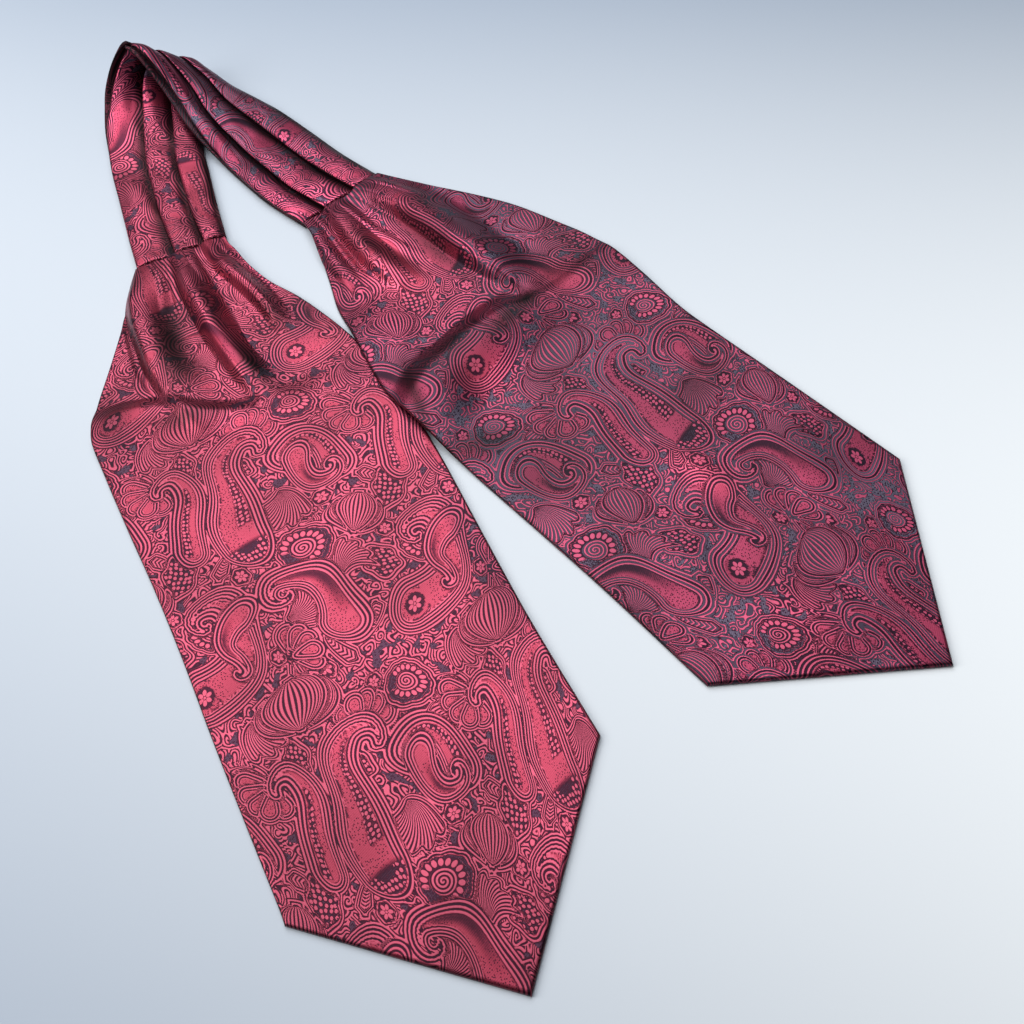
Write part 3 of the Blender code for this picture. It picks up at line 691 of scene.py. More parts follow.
def band_rings(visible, first, last):
    """Rings of points of the band between two of its sections, and their flat places."""
    table = rounded_rows(NECK_ROWS, RING_STEPS)
    left, right = table[:, 0:3], table[:, 3:6]
    run = np.gradient((left + right) / 2, axis=0)
    steps = np.linalg.norm(np.diff((left + right) / 2, axis=0), axis=1)
    length = np.concatenate([[0.0], np.cumsum(steps)])
    run /= np.linalg.norm(run, axis=1, keepdims=True)
    width = np.linalg.norm(right - left, axis=1)
    side = (right - left) / width[:, None]
    normal = np.cross(side, run) * visible
    normal /= np.linalg.norm(normal, axis=1, keepdims=True)
    first, last = first * RING_STEPS, last * RING_STEPS
    rings, places, shades = [], [], []
    for k in range(first, last + 1):
        rows = band_outline(width[k], *table[k, 6:10])
        outline = fine_outline(rows)
        wave = sum(size * np.sin(2 * math.pi * (across * outline[:, 0] / width[k]
                                                + along * length[k] / WRINKLE_RUN) + phase)
                   for size, across, along, phase in WRINKLES)
        from_end = min(length[k] - length[first], length[last] - length[k]) + SEAM_GAP / 2
        calm = np.clip(from_end / CALM_END, 0.0, 1.0) * np.clip(outline[:, 1], 0.0, 1.0)
        high = outline[:, 1] + wave * calm
        if (k - first < last - k) == (visible > 0):
            high = np.where(high > 0, high - rolled(from_end * JOIN_TIGHT, BAND_ROLL_DROP), high)
        rings.append(left[k] + outline[:, :1] * side[k] + high[:, None] * normal[k])
        step = np.linalg.norm(np.diff(outline, axis=0), axis=1)
        u = np.concatenate([[0.0], np.cumsum(step)]) + hidden_cloth(rows)
        places.append(np.stack([u, np.full(len(u), length[k])], axis=-1))
        # Painted shade down in the grooves and along the ends, and painted light from BAND_LIGHT on the rest
        sunk = BAND_THICK / 2 - GROOVE_FROM - outline[:, 1]
        deep = np.clip(sunk / GROOVE_SHADE_DEPTH, 0.0, 1.0)
        at_end = EDGE_SHADE * np.clip(1.0 - from_end * JOIN_TIGHT / EDGE_REACH, 0.0, 1.0)
        lift, _ = band_light(length[k])
        shades.append(np.maximum(GROOVE_SHADE * deep, at_end) - lift * (1.0 - deep))
    rings[0] += run[first] * SEAM_GAP / 2
    rings[-1] -= run[last] * SEAM_GAP / 2
    rings = np.array(rings)
    rings[..., 2] = np.maximum(rings[..., 2], 0.0)
    return rings, np.array(places), np.array(shades)


def band_shell(name, visible, first, last, offset):
    """Half of the neck band as a closed skin."""
    rings, places, shades = band_rings(visible, first, last)
    count, size = rings.shape[:2]
    grid = np.arange(count * size).reshape(count, size)
    turned = np.roll(grid, -1, axis=1)
    faces = np.stack([grid[:-1], turned[:-1], turned[1:], grid[1:]], -1).reshape(-1, 4).tolist()
    faces.append(grid[0].tolist())
    faces.append(grid[-1][::-1].tolist())
    # The band's painted sheen along its length
    _, grey = band_light(places[:, :, 1])
    piece = new_piece(name, rings.reshape(-1, 3), faces, places.reshape(-1, 2) + offset, grey.ravel(),
                      shades.ravel())
    print(name, "has", count * size, "points")
    return piece


print("the band's wrinkles are at most", round(sum(row[0] for row in WRINKLES), 2), "mm high")

# %% [markdown]
# The woven pattern
#
# The silk is a jacquard: red floats on a plum ground draw a dense paisley. A drawing stays
# sharp at any size when it is kept as distances, so for every point of the cloth these
# functions work out how far it lies from the nearest outline, which rib of a leaf it is
# on, and where it lies in the frame of a small flower or a ring of teeth. The mesh carries
# those numbers, which change smoothly from point to point, and the material turns them
# into crisp woven lines. The layout is this lesson's own, from the old stock of such
# silks: drops with a bent tip, curls in a ring of teeth, ribbed heads and fans.

# %% Repeat of the pattern, in millimetres of flat cloth
REPEAT = (104.0, 166.0)
PEARLS, FLOWER, WHEEL = 1.0, 2.0, 3.0
BERRY_PITCH = 2.3
COLLAR = 1.9
NOWHERE = 9.0
print("the pattern repeats every", REPEAT[0], "by", REPEAT[1], "mm")


# %% [markdown]
# Motifs laid over each other
#
# The repeat is filled like a table with cut paper: small motifs first, big ones on top.
# Each motif has a collar round it, in which the lines that follow its outline cover what
# lies below, so that neighbours never run into each other.

# %% The cloth that motifs are laid on
class Cloth:
    """What is woven at each point of the flat cloth: distances, places and zones."""

    zones = ("rib", "ribbed", "field", "dark", "x", "y", "kind")

    def __init__(self, u, v):
        self.u, self.v = u, v
        self.edge = np.full(u.shape, NOWHERE)
        for name in self.zones:
            setattr(self, name, np.zeros(u.shape))

    def near(self, at, turn, flip, reach):
        """Points within reach of a motif, and their places in the motif's own directions."""
        x = (self.u - at[0] + REPEAT[0] / 2) % REPEAT[0] - REPEAT[0] / 2
        y = (self.v - at[1] + REPEAT[1] / 2) % REPEAT[1] - REPEAT[1] / 2
        pick = np.nonzero(np.hypot(x, y) < reach)[0]
        c, s = math.cos(math.radians(turn)), math.sin(math.radians(turn))
        x, y = x[pick] * c + y[pick] * s, y[pick] * c - x[pick] * s
        return pick, x * (-1.0 if flip else 1.0), y

    def lay(self, pick, edge, **woven):
        """Lay a motif over what is there, with a collar of outlines round it."""
        top = edge < COLLAR
        self.edge[pick] = np.where(top, edge, np.minimum(self.edge[pick], edge))
        for name in self.zones:
            value = np.where(edge < 0.3, woven.get(name, 0.0), 0.0)
            getattr(self, name)[pick[top]] = value[top]


bare_cloth = Cloth(np.zeros(1), np.zeros(1))
print("each point of the cloth knows its edge and:", ", ".join(bare_cloth.zones))


# %% [markdown]
# The drop with a bent tip
#
# A paisley drop is a row of circles along a bent line that get smaller to its end. The
# distance to the nearest circle is the distance to the whole drop, and the circle's own
# number tells how far along the drop a point lies.

# %% A bent line and the drop round it
def spine(length, turns, count=40):
    """Points of a curved line of a length; turns are rows of share and heading in degrees."""
    share = np.linspace(0.0, 1.0, count)
    turns = np.array(turns)
    heading = np.radians(np.interp(share, turns[:, 0], turns[:, 1]))
    step = length / (count - 1)
    x = np.concatenate([[0.0], np.cumsum(np.sin(heading[:-1]) * step)])
    y = np.concatenate([[0.0], np.cumsum(-np.cos(heading[:-1]) * step)])
    return np.stack([x, y], axis=-1), share, heading


def drop(x, y, length, radius, turns, taper):
    """Distance to a drop's outline, millimetres along its spine and to its right, its size."""
    points, share, heading = spine(length, turns)
    size = radius * (1.0 - share) ** taper + 0.25
    dx = x[..., None] - points[:, 0]
    dy = y[..., None] - points[:, 1]
    reach = np.hypot(dx, dy) - size
    best = np.argmin(reach, axis=-1)
    pick = np.arange(len(best)), best
    along = dx[pick] * np.sin(heading[best]) - dy[pick] * np.cos(heading[best])
    side = dx[pick] * np.cos(heading[best]) + dy[pick] * np.sin(heading[best])
    return reach[pick], share[best] * length + along, side, size[best]


S_BACK = ((0.0, -40), (0.32, 6), (0.62, 62), (0.80, 150), (0.92, 260), (1.0, 380))
S_LONG = ((0.0, -14), (0.45, 4), (0.70, 40), (0.85, 120), (1.0, 250))
S_HOOK = ((0.0, 34), (0.38, -16), (0.66, -80), (0.84, -190), (1.0, -350))
S_WAVE = ((0.0, 60), (0.30, 20), (0.55, -50), (0.78, -20), (0.9, 70), (1.0, 200))
print("the long drop's tip ends at", np.round(spine(86, S_LONG)[0][-1], 1), "mm from its bowl")


# %% What lies inside a drop
def drop_inside(kind, length, radius, x, y, edge, along, side, size):
    """Ground, mark and the mark's own place inside each kind of drop."""
    rim = radius * 0.30 + 0.5
    core = np.clip((-edge - rim) / 0.6, 0.0, 1.0)
    share = side / size
    px, py = along / BERRY_PITCH, side / BERRY_PITCH
    if kind == "long":
        lane = (share > 0.02) & (along > radius * 0.9) & (along < length * 0.72)
        bowl = np.clip((radius * 0.05 - along) / 2.5, 0.0, 1.0) * (edge < -1.2)
        dark = np.maximum(0.8 * bowl, core * lane * 0.5)
        mark = np.where((lane & (core > 0.5)) | ((bowl > 0.6) & (edge > -rim - 2.4)), PEARLS, 0.0)
    elif kind == "hooked":
        lane = (share > 0.0) & (along > -radius * 0.4) & (along < length * 0.6)
        dark = core * lane * 0.8
        mark = np.where(lane & (core > 0.3), PEARLS, 0.0)
    elif kind == "flowered":
        middle = np.hypot(x, y)
        bed = middle < radius * 0.46
        ring = (middle > radius * 0.66) & (middle < radius * 0.98) & (core > 0.3) & (along < radius * 0.5)
        dark = np.where(ring, 0.7, np.where(bed, core * 0.7, 0.0))
        mark = np.where(ring, PEARLS, np.where(bed & (edge < -1.0), FLOWER, 0.0))
        px, py = np.where(bed, x / radius / 0.36, px), np.where(bed, y / radius / 0.36, py)
    else:
        band = np.clip((share + 0.3) / 0.5, 0.0, 1.0) * np.clip((along / length - 0.05) / 0.3, 0.0, 1.0)
        dark = core * band * 0.6
        mark = np.zeros(len(x))
    return dict(field=core, dark=dark, kind=mark, x=px, y=py)


def boteh(cloth, at, turn, flip, length, radius, turns, taper, kind):
    """A drop with a bent tip: side lines, a seeded red field, a lane of pearls, a flower."""
    pick, x, y = cloth.near(at, turn, flip, length + radius + 6)
    if not len(pick):
        return
    edge, along, side, size = drop(x, y, length, radius, turns, taper)
    wide = np.clip((side / size + 0.2) / 0.5, 0.0, 1.0)
    inside = drop_inside(kind, length, radius, x, y, edge, along, side, size)
    cloth.lay(pick, edge * (1.0 - 0.22 * wide), **inside)


BOTEHS = (
    # place, turn, mirrored, length, radius, turns of the spine, taper, kind
    ((66.0, 84.0), 4, False, 86, 11.6, S_LONG, 0.55, "long"),
    ((22.0, 150.0), 40, True, 84, 11.4, S_BACK, 0.74, "flowered"),
    ((40.0, 74.0), 8, True, 62, 6.6, S_LONG, 0.5, "hooked"),
    ((94.0, 140.0), -24, False, 70, 9.4, S_HOOK, 0.78, "striped"),
    ((14.0, 60.0), -34, False, 56, 7.6, S_HOOK, 0.8, "hooked"),
    ((100.0, 46.0), 150, True, 44, 6.4, S_BACK, 0.85, "striped"),
    ((52.0, 118.0), 200, False, 40, 5.6, S_WAVE, 0.8, "striped"),
)
print("drops in a repeat:", len(BOTEHS))


# %% [markdown]
# Wheels, heads and fans
#
# Between the drops stand a few middle-sized motifs: a curl inside a ring of teeth, an
# onion-shaped ribbed head, a fan of bent ribs and a bloom of drops.

# %% A curl in a ring of teeth
def wheel(cloth, at, turn, flip, radius, open_from, open_to):
    """A curl inside a ring of teeth, on a plum ground with a scalloped rim."""
    pick, x, y = cloth.near(at, turn, flip, radius * 2.6)
    if not len(pick):
        return
    r, a = np.hypot(x, y), np.arctan2(y, x)
    rim = radius * (1.58 + 0.22 * np.cos(a - 0.6) + 0.10 * np.abs(np.cos(5.5 * a)))
    toothed = (r < radius * 0.80) | ~((a > open_from) & (a < open_to))
    mark = np.where((r < radius * 1.4) & toothed, WHEEL, 0.0)
    cloth.lay(pick, r - rim, dark=(r - rim < -1.0) * 0.85, kind=mark, x=x / radius, y=y / radius)


WHEELS = (
    # place, turn, mirrored, radius, where the ring of teeth is open
    ((88.0, 96.0), 20, False, 7.4, 1.9, 2.9), ((36.0, 118.0), 200, True, 6.6, 1.6, 2.9),
    ((6.0, 16.0), 90, False, 6.0, 1.4, 2.4),
)
print("wheels in a repeat:", len(WHEELS))


# %% A ribbed head
def palmette(cloth, at, turn, flip, width, height, ribs):
    """A ribbed onion-shaped head whose ribs meet at its foot and crown."""
    pick, x, y = cloth.near(at, turn, flip, height + 8)
    if not len(pick):
        return
    for side, lean in ((-1.0, 0.52), (1.0, 0.52), (0.0, 0.0)):
        c, s = math.cos(side * lean), math.sin(side * lean)
        lx, ly = x * c + (y - height / 2) * s, (y - height / 2) * c - x * s + height / 2
        share = np.clip((ly + height * 0.5) / height, 0.001, 0.999)
        scale = 1.0 if side == 0.0 else 0.8
        belly = np.sin(math.pi * share ** 0.8) ** 0.6 * (1.0 + 0.25 * (0.5 - share))
        half = width / 2 * belly * scale + 0.2
        edge = np.maximum((np.abs(lx) - half) * 0.85, np.abs(ly) - height * 0.5)
        place_in = np.clip(lx / half, -1, 1)
        cloth.lay(pick, edge, rib=np.arcsin(place_in) / math.pi * ribs + 0.5, ribbed=(edge < -0.5) * 1.0)


PALMETTES = (((58.0, 4.0), 0, False, 25, 25, 17), ((12.0, 92.0), 24, False, 17, 20, 13))
print("heads in a repeat:", len(PALMETTES))


# %% A fan of bent ribs
def fan(cloth, at, turn, flip, reach, opening, ribs):
    """A leaf of ribs that spread and bend from one foot, with a scalloped rim."""
    pick, x, y = cloth.near(at, turn, flip, reach + 4)
    if not len(pick):
        return
    r, a = np.hypot(x, y), np.arctan2(x, -y)
    bent = a + r / reach * 0.8
    limit = math.radians(opening) / 2
    rim = reach * (0.84 + 0.16 * np.abs(np.cos(bent / limit * ribs * math.pi / 8)))
    edge = np.maximum(r - rim, (np.abs(bent) - limit) * r)
    cloth.lay(pick, edge, rib=bent / (2 * limit) * ribs, ribbed=(edge < -0.4) * 1.0)


FANS = (
    ((30.0, 40.0), -30, False, 24, 130, 21), ((86.0, 62.0), 150, True, 21, 120, 18),
    ((70.0, 130.0), 100, False, 20, 120, 17), ((40.0, 166.0), 200, False, 20, 120, 17),
    ((100.0, 120.0), 0, True, 18, 110, 15),
)
print("fans in a repeat:", len(FANS))


# %% A bloom of drops
def bloom(cloth, at, turn, flip, reach, petal_count, spread):
    """A flower head of drops that spread from one foot, the middle one on top."""
    order = sorted(range(petal_count), key=lambda k: -abs(k - (petal_count - 1) / 2))
    for k in order:
        lean = (k / (petal_count - 1) - 0.5) * spread * (-1.0 if flip else 1.0)
        swing = math.radians(turn + lean)
        foot = (at[0] + math.sin(swing) * reach * 0.72, at[1] - math.cos(swing) * reach * 0.72)
        pick, x, y = cloth.near(foot, turn + lean, flip, reach + 4)
        if len(pick):
            edge, *_ = drop(x, y, reach * 0.62, reach * 0.24, ((0.0, 180.0), (1.0, 180.0)), 0.7)
            cloth.lay(pick, edge, field=(edge < -1.8) * 1.0)


BLOOMS = (((32.0, 30.0), 200, False, 17, 7, 190), ((84.0, 24.0), -10, False, 16, 7, 190),
          ((66.0, 148.0), 100, False, 15, 7, 180))
print("blooms in a repeat:", len(BLOOMS))


# %% [markdown]
# Small things
#
# The gaps get small flowers, bunches of berries and combs of leaves.

# %% Small flowers, berries and combs of leaves
def flower(cloth, at, turn, flip, radius):
    """A small flower of six petals on the dark ground."""
    pick, x, y = cloth.near(at, turn, flip, radius * 1.7)
    if not len(pick):
        return
    r, a = np.hypot(x, y), np.arctan2(y, x)
    cloth.lay(pick, r - radius * (1.08 + 0.08 * np.cos(6 * a)), dark=0.6, kind=FLOWER,
              x=x / radius, y=y / radius)


def berries(cloth, at, turn, flip, length, width):
    """A bunch of round berries."""
    pick, x, y = cloth.near(at, turn, flip, length + 4)
    if not len(pick):
        return
    edge = (np.hypot(x / width, y / length) - 1.0) * width + 0.7 * np.cos(5 * np.arctan2(y, x))
    cloth.lay(pick, edge, dark=0.8, kind=PEARLS, x=x / BERRY_PITCH, y=y / BERRY_PITCH)


def fern(cloth, at, turn, flip, length, width, leaves):
    """A comb of small leaves on one bent stem."""
    pick, x, y = cloth.near(at, turn, flip, length + 4)
    if not len(pick):
        return
    x = x - 0.35 * (y / length) ** 2 * length
    share = np.clip(-y / length, 0.0, 1.0)
    half = width * np.sqrt(np.clip(1.0 - share, 0.0, 1.0)) * np.clip(share * 6, 0.0, 1.0) + 0.2
    edge = np.maximum(np.abs(x) - half, np.maximum(y, -length - y))
    rib = -y / length * leaves - np.abs(x) * 0.42
    cloth.lay(pick, edge, rib=rib, ribbed=(edge < -0.2) * 1.0)


FLOWERS = (((46.0, 52.0), 0, False, 3.7), ((96.0, 78.0), 20, False, 3.4), ((56.0, 100.0), 10, False, 3.5),
           ((24.0, 104.0), 40, False, 3.2), ((76.0, 160.0), 0, False, 3.5), ((2.0, 74.0), 15, False, 3.4),
           ((60.0, 144.0), 0, False, 3.2), ((94.0, 8.0), 0, False, 3.4))
BUNCHES = (((30.0, 84.0), 20, False, 9.0, 6.4), ((82.0, 118.0), -30, False, 10.0, 6.0),
           ((72.0, 42.0), 60, False, 8.0, 5.6), ((16.0, 122.0), 0, False, 8.4, 6.0),
           ((48.0, 28.0), 30, False, 8.0, 5.6))
FERNS = (((46.0, 96.0), 30, False, 16, 3.4, 10), ((90.0, 160.0), -40, False, 15, 3.2, 9),
         ((20.0, 72.0), 120, False, 15, 3.2, 9), ((78.0, 84.0), 190, False, 14, 3.2, 9),
         ((64.0, 112.0), 70, False, 13, 3.0, 8), ((4.0, 138.0), 200, False, 14, 3.2, 9),
         ((34.0, 2.0), 100, False, 14, 3.2, 9))
print("small things in a repeat:", len(FLOWERS) + len(BUNCHES) + len(FERNS))

# %% [markdown]
# All of it on the cloth
#
# A hand-drawn repeat is never quite regular. A slow wave that fits the repeat pulls every
# motif a little out of shape, so that no two drops of a kind look the same.

# %% The pattern at flat places of the cloth
PULL = 1.8


def weave(u, v):
    """All that is woven at flat places of the cloth."""
    a, b = 2 * math.pi * u / REPEAT[0], 2 * math.pi * v / REPEAT[1]
    cloth = Cloth((u + PULL * np.sin(3 * b + 2.0 * np.sin(a))).ravel(),
                  (v + PULL * np.sin(2 * a + 1.3 * np.sin(2 * b))).ravel())
    for make, rows in ((fern, FERNS), (berries, BUNCHES), (flower, FLOWERS), (fan, FANS), (bloom, BLOOMS),
                       (wheel, WHEELS), (palmette, PALMETTES), (boteh, BOTEHS)):
        for row in rows:
            make(cloth, *row)
    return {name: getattr(cloth, name).reshape(u.shape) for name in ("edge", *cloth.zones)}


SAMPLE_STEP = 4.0
sample = weave(*np.meshgrid(np.arange(0.0, REPEAT[0], SAMPLE_STEP), np.arange(0.0, REPEAT[1], SAMPLE_STEP)))
print("share of the repeat that motifs cover:", round(float((sample["edge"] < 0).mean()), 2))

# %% [markdown]
# The six pieces of silk
#
# The blades' upper panels carry the look, so their grids are the finest. The panels
# behind them only show from below, and take a wider grid.

# %% Make the pieces
FINE = 0.86
WIDE = 1.3
fine, wide = ((FINE, WIDE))
near_front = panel_shell("near_blade_front_silk", NEAR, fine, 0.0, True, (0.0, 0.0))
near_back = panel_shell("near_blade_back_silk", NEAR, wide, BACK_INSET, False, (37.0, 61.0))
far_back = panel_shell("far_blade_back_silk", FAR, fine, 0.0, True, (52.0, 96.0))
far_front = panel_shell("far_blade_front_silk", FAR, wide, BACK_INSET, False, (11.0, 23.0))
near_band = band_shell("near_band_silk", 1, 0, CENTRE_BACK, (5.0, 12.0))
far_band = band_shell("far_band_silk", -1, CENTRE_BACK, len(NECK_ROWS) - 1, (71.0, 40.0))
cloth_pieces = {
    "near_blade_front": near_front, "near_blade_back": near_back, "far_blade_back": far_back,
    "far_blade_front": far_front, "near_band": near_band, "far_band": far_band,
}

# %% [markdown]
# The silk's drawing
#
# Under the light a woven silk shows two things at once: its drawing, and the sheen of its
# threads. The drawing comes from the distances that the mesh carries. The material turns
# each of them into a tone from 0, the plum ground, to 1, the lightest thread.

# %% Helpers to wire nodes
class Wiring:
    """Makes shader nodes and joins them, so that a formula reads like one."""

    def __init__(self, tree):
        self.tree = tree

    def put(self, socket, value):
        if isinstance(value, bpy.types.NodeSocket):
            self.tree.links.new(value, socket)
        else:
            socket.default_value = value

    def node(self, kind, **settings):
        made = self.tree.nodes.new(kind)
        for key, value in settings.items():
            setattr(made, key, value)
        return made

    def math(self, operation, *values):
        made = self.node("ShaderNodeMath", operation=operation)
        for socket, value in zip(made.inputs, values):
            self.put(socket, value)
        return made.outputs[0]

    def vector(self, operation, *values):
        made = self.node("ShaderNodeVectorMath", operation=operation)
        for socket, value in zip(made.inputs, values):
            self.put(socket, value)
        return made.outputs[0]

    def scaled(self, vector, amount):
        made = self.node("ShaderNodeVectorMath", operation="SCALE")
        self.put(made.inputs[0], vector)
        self.put(made.inputs["Scale"], amount)
        return made.outputs[0]

    def split(self, vector):
        made = self.node("ShaderNodeSeparateXYZ")
        self.put(made.inputs[0], vector)
        return made.outputs[0], made.outputs[1], made.outputs[2]

    def smooth(self, value, low, high, to_low=0.0, to_high=1.0):
        made = self.node("ShaderNodeMapRange", interpolation_type="SMOOTHSTEP")
        for socket, item in zip(made.inputs, (value, low, high, to_low, to_high)):
            self.put(socket, item)
        return made.outputs[0]

    def mix(self, share, first, second):
        made = self.node("ShaderNodeMix", data_type="FLOAT")
        for index, item in ((0, share), (2, first), (3, second)):
            self.put(made.inputs[index], item)
        return made.outputs[0]

    def blend(self, share, first, second):
        made = self.node("ShaderNodeMix", data_type="RGBA")
        for index, item in ((0, share), (6, first), (7, second)):
            self.put(made.inputs[index], item)
        return made.outputs[2]

    def ramp(self, value, stops):
        made = self.node("ShaderNodeValToRGB")
        self.put(made.inputs[0], value)
        band = made.color_ramp
        while len(band.elements) < len(stops):
            band.elements.new(0.5)
        for element, (at, colour) in zip(band.elements, stops):
            element.position = at
            element.color = (*colour, 1.0)
        return made.outputs[0]

    def carried(self, name, output="Vector"):
        made = self.node("ShaderNodeAttribute", attribute_type="GEOMETRY", attribute_name=name)
        return made.outputs[output]

    def cloth_place(self):
        return self.scaled(self.node("ShaderNodeUVMap", uv_map="cloth").outputs[0], UV_MM)


def tint(red, green, blue):
    """A colour as seen on a screen, 0 to 255, as the linear values that a node takes."""
    return tuple(((c / 255 + 0.055) / 1.055) ** 2.4 if c > 10 else c / 3294.6 for c in (red, green, blue))


def nodes_taken(build):
    """How many nodes a step of the drawing takes, tried out on a spare tree."""
    trial = Wiring(bpy.data.node_groups.new("trial", "ShaderNodeTree"))
    trial.lustre = 0.5
    build(trial)
    count = len(trial.tree.nodes)
    bpy.data.node_groups.remove(trial.tree)
    return count


print("a mid red on the screen is", np.round(tint(204, 66, 90), 3), "in the material")


# %% [markdown]
# Threads from a phase
#
# A row of parallel threads is the cosine of a phase: one whole turn for each thread. When
# the phase is the distance to an outline, the threads follow the outline; when it is the
# rib number of a leaf, they fan out like its ribs. The dark gap between two threads is the
# ground, which is nearly black red in the shine and grey-plum out of it.

# %% Threads, soft noise and cells
RED_GAP, PLUM_GAP, STRAND_TONE = 0.27, 0.12, 0.84
OUTLINE_PITCH = 1.4
FILL_PITCH = 1.75


def strands(wire, phase):
    """Woven strands, one for each whole number of the phase, from 0 between to 1 on them."""
    wave = wire.math("COSINE", wire.math("MULTIPLY", phase, 2 * math.pi))
    return wire.smooth(wave, wire.mix(wire.lustre, -0.8, -0.15), wire.mix(wire.lustre, 0.45, 0.8))


def toned(wire, strand):
    """Strands as tones of the drawing: the gap is dark, or the ground where that shines."""
    return wire.mix(strand, wire.smooth(wire.lustre, 0.2, 1.12, RED_GAP, PLUM_GAP), STRAND_TONE)


def noise(wire, place_mm, size):
    """Soft noise with features of a size."""
    made = wire.node("ShaderNodeTexNoise", noise_dimensions="2D")
    wire.put(made.inputs["Vector"], wire.scaled(place_mm, 1 / size))
    made.inputs["Scale"].default_value = 1.0
    made.inputs["Detail"].default_value = 0.0
    return made.outputs


def cells(wire, place_mm, size, order):
    """Cells round points that stand on a grid, more or less shifted; order 1 is a plain grid."""
    made = wire.node("ShaderNodeTexVoronoi", voronoi_dimensions="2D", feature="F1")
    wire.put(made.inputs["Vector"], wire.scaled(place_mm, 1 / size))
    made.inputs["Scale"].default_value = 1.0
    made.inputs["Randomness"].default_value = 1.0 - order
    return made.outputs


print("threads that follow an outline stand", OUTLINE_PITCH, "mm apart")


# %% Circles and petals
def polar(wire, x, y):
    """Distance from the middle and turns round it."""
    away = wire.math("SQRT", wire.math("ADD", wire.math("MULTIPLY", x, x), wire.math("MULTIPLY", y, y)))
    return away, wire.math("DIVIDE", wire.math("ARCTAN2", y, x), 2 * math.pi)


def petals(wire, away, turns, count, reach, half_length, half_width):
    """How far outside a ring of oval petals a point is: 0 on an outline, below 0 in a petal."""
    part = wire.math("SUBTRACT", wire.math("FRACT", wire.math("MULTIPLY_ADD", turns, count, 0.5)), 0.5)
    swing = wire.math("MULTIPLY", part, 2 * math.pi / count)
    out = wire.math("SUBTRACT", wire.math("MULTIPLY", away, wire.math("COSINE", swing)), reach)
    side = wire.math("MULTIPLY", away, wire.math("SINE", swing))
    far, _ = polar(wire, wire.math("DIVIDE", out, half_length), wire.math("DIVIDE", side, half_width))
    return wire.math("SUBTRACT", far, 1.0)


# A ring of petals or teeth: how many, how far out, half length, half width, in radii of the motif
SIX_PETALS = (6, 0.58, 0.36, 0.25)
WHEEL_TEETH = (17, 1.08, 0.22, 0.155)
ring_nodes = nodes_taken(lambda wire: petals(wire, *polar(wire, 0.3, 0.4), *SIX_PETALS))
print("a ring of petals takes", ring_nodes, "nodes")

# %% [markdown]
# Between the motifs
#
# What lies between the motifs is filled with small curls and wandering lines. About half
# of the cells of a cell texture get a spiral, by adding the angle round the cell's centre
# to the distance from it. In the others a slow noise is the phase, and draws lines that
# wander like contours of hills.

# %% The cloth between the motifs
CELL = 6.5
CURLED_SHARE = 0.55
WARP_SIZE, WARP = 7.0, 4.0
WANDER, WANDER_TURNS = 7.0, 6.5
BARE_SIZE, BARE_BELOW, BARE_FADE = 5.5, 0.33, 0.38
BARE_PLACE = (40.0, 70.0, 0.0)
BARE_WHERE_GREY = 0.05


def filling(wire, place_mm):
    """Curls and wandering strands between the motifs, and how much plain ground shows."""
    warp = wire.vector("SUBTRACT", noise(wire, place_mm, WARP_SIZE)["Color"], (0.5, 0.5, 0.5))
    moved = wire.vector("ADD", place_mm, wire.scaled(warp, WARP))
    cell = cells(wire, moved, CELL, 0.0)
    centre = wire.vector("SUBTRACT", wire.scaled(moved, 1 / CELL), cell["Position"])
    away_x, away_y, _ = wire.split(centre)
    chance, other, _ = wire.split(cell["Color"])
    away, turns = polar(wire, away_x, away_y)
    hand = wire.math("SIGN", wire.math("SUBTRACT", chance, 0.5))
    curl = wire.math("MULTIPLY_ADD", away, CELL / FILL_PITCH, wire.math("MULTIPLY", turns, hand))
    wander = wire.math("MULTIPLY", noise(wire, place_mm, WANDER)["Fac"], WANDER_TURNS)
    phase = wire.mix(wire.math("GREATER_THAN", other, CURLED_SHARE), curl, wander)
    hills = noise(wire, wire.vector("ADD", place_mm, BARE_PLACE), BARE_SIZE)["Fac"]
    depth = wire.math("MULTIPLY_ADD", wire.lustre, -BARE_WHERE_GREY, hills)
    return toned(wire, strands(wire, phase)), wire.smooth(depth, BARE_FADE, BARE_BELOW), chance


print("the filling takes", nodes_taken(lambda wire: filling(wire, (0.0, 0.0, 0.0))), "nodes")


# %% Pearls, flowers and rings of teeth
PEARL_ORDER, PEARL_RADIUS = 0.65, 0.36
HEART_RADIUS = 0.17
CURL_PITCH, CURL_RADIUS = 0.235, 0.78
SHADOW_TONE, MARK_TONE = 0.30, 0.82


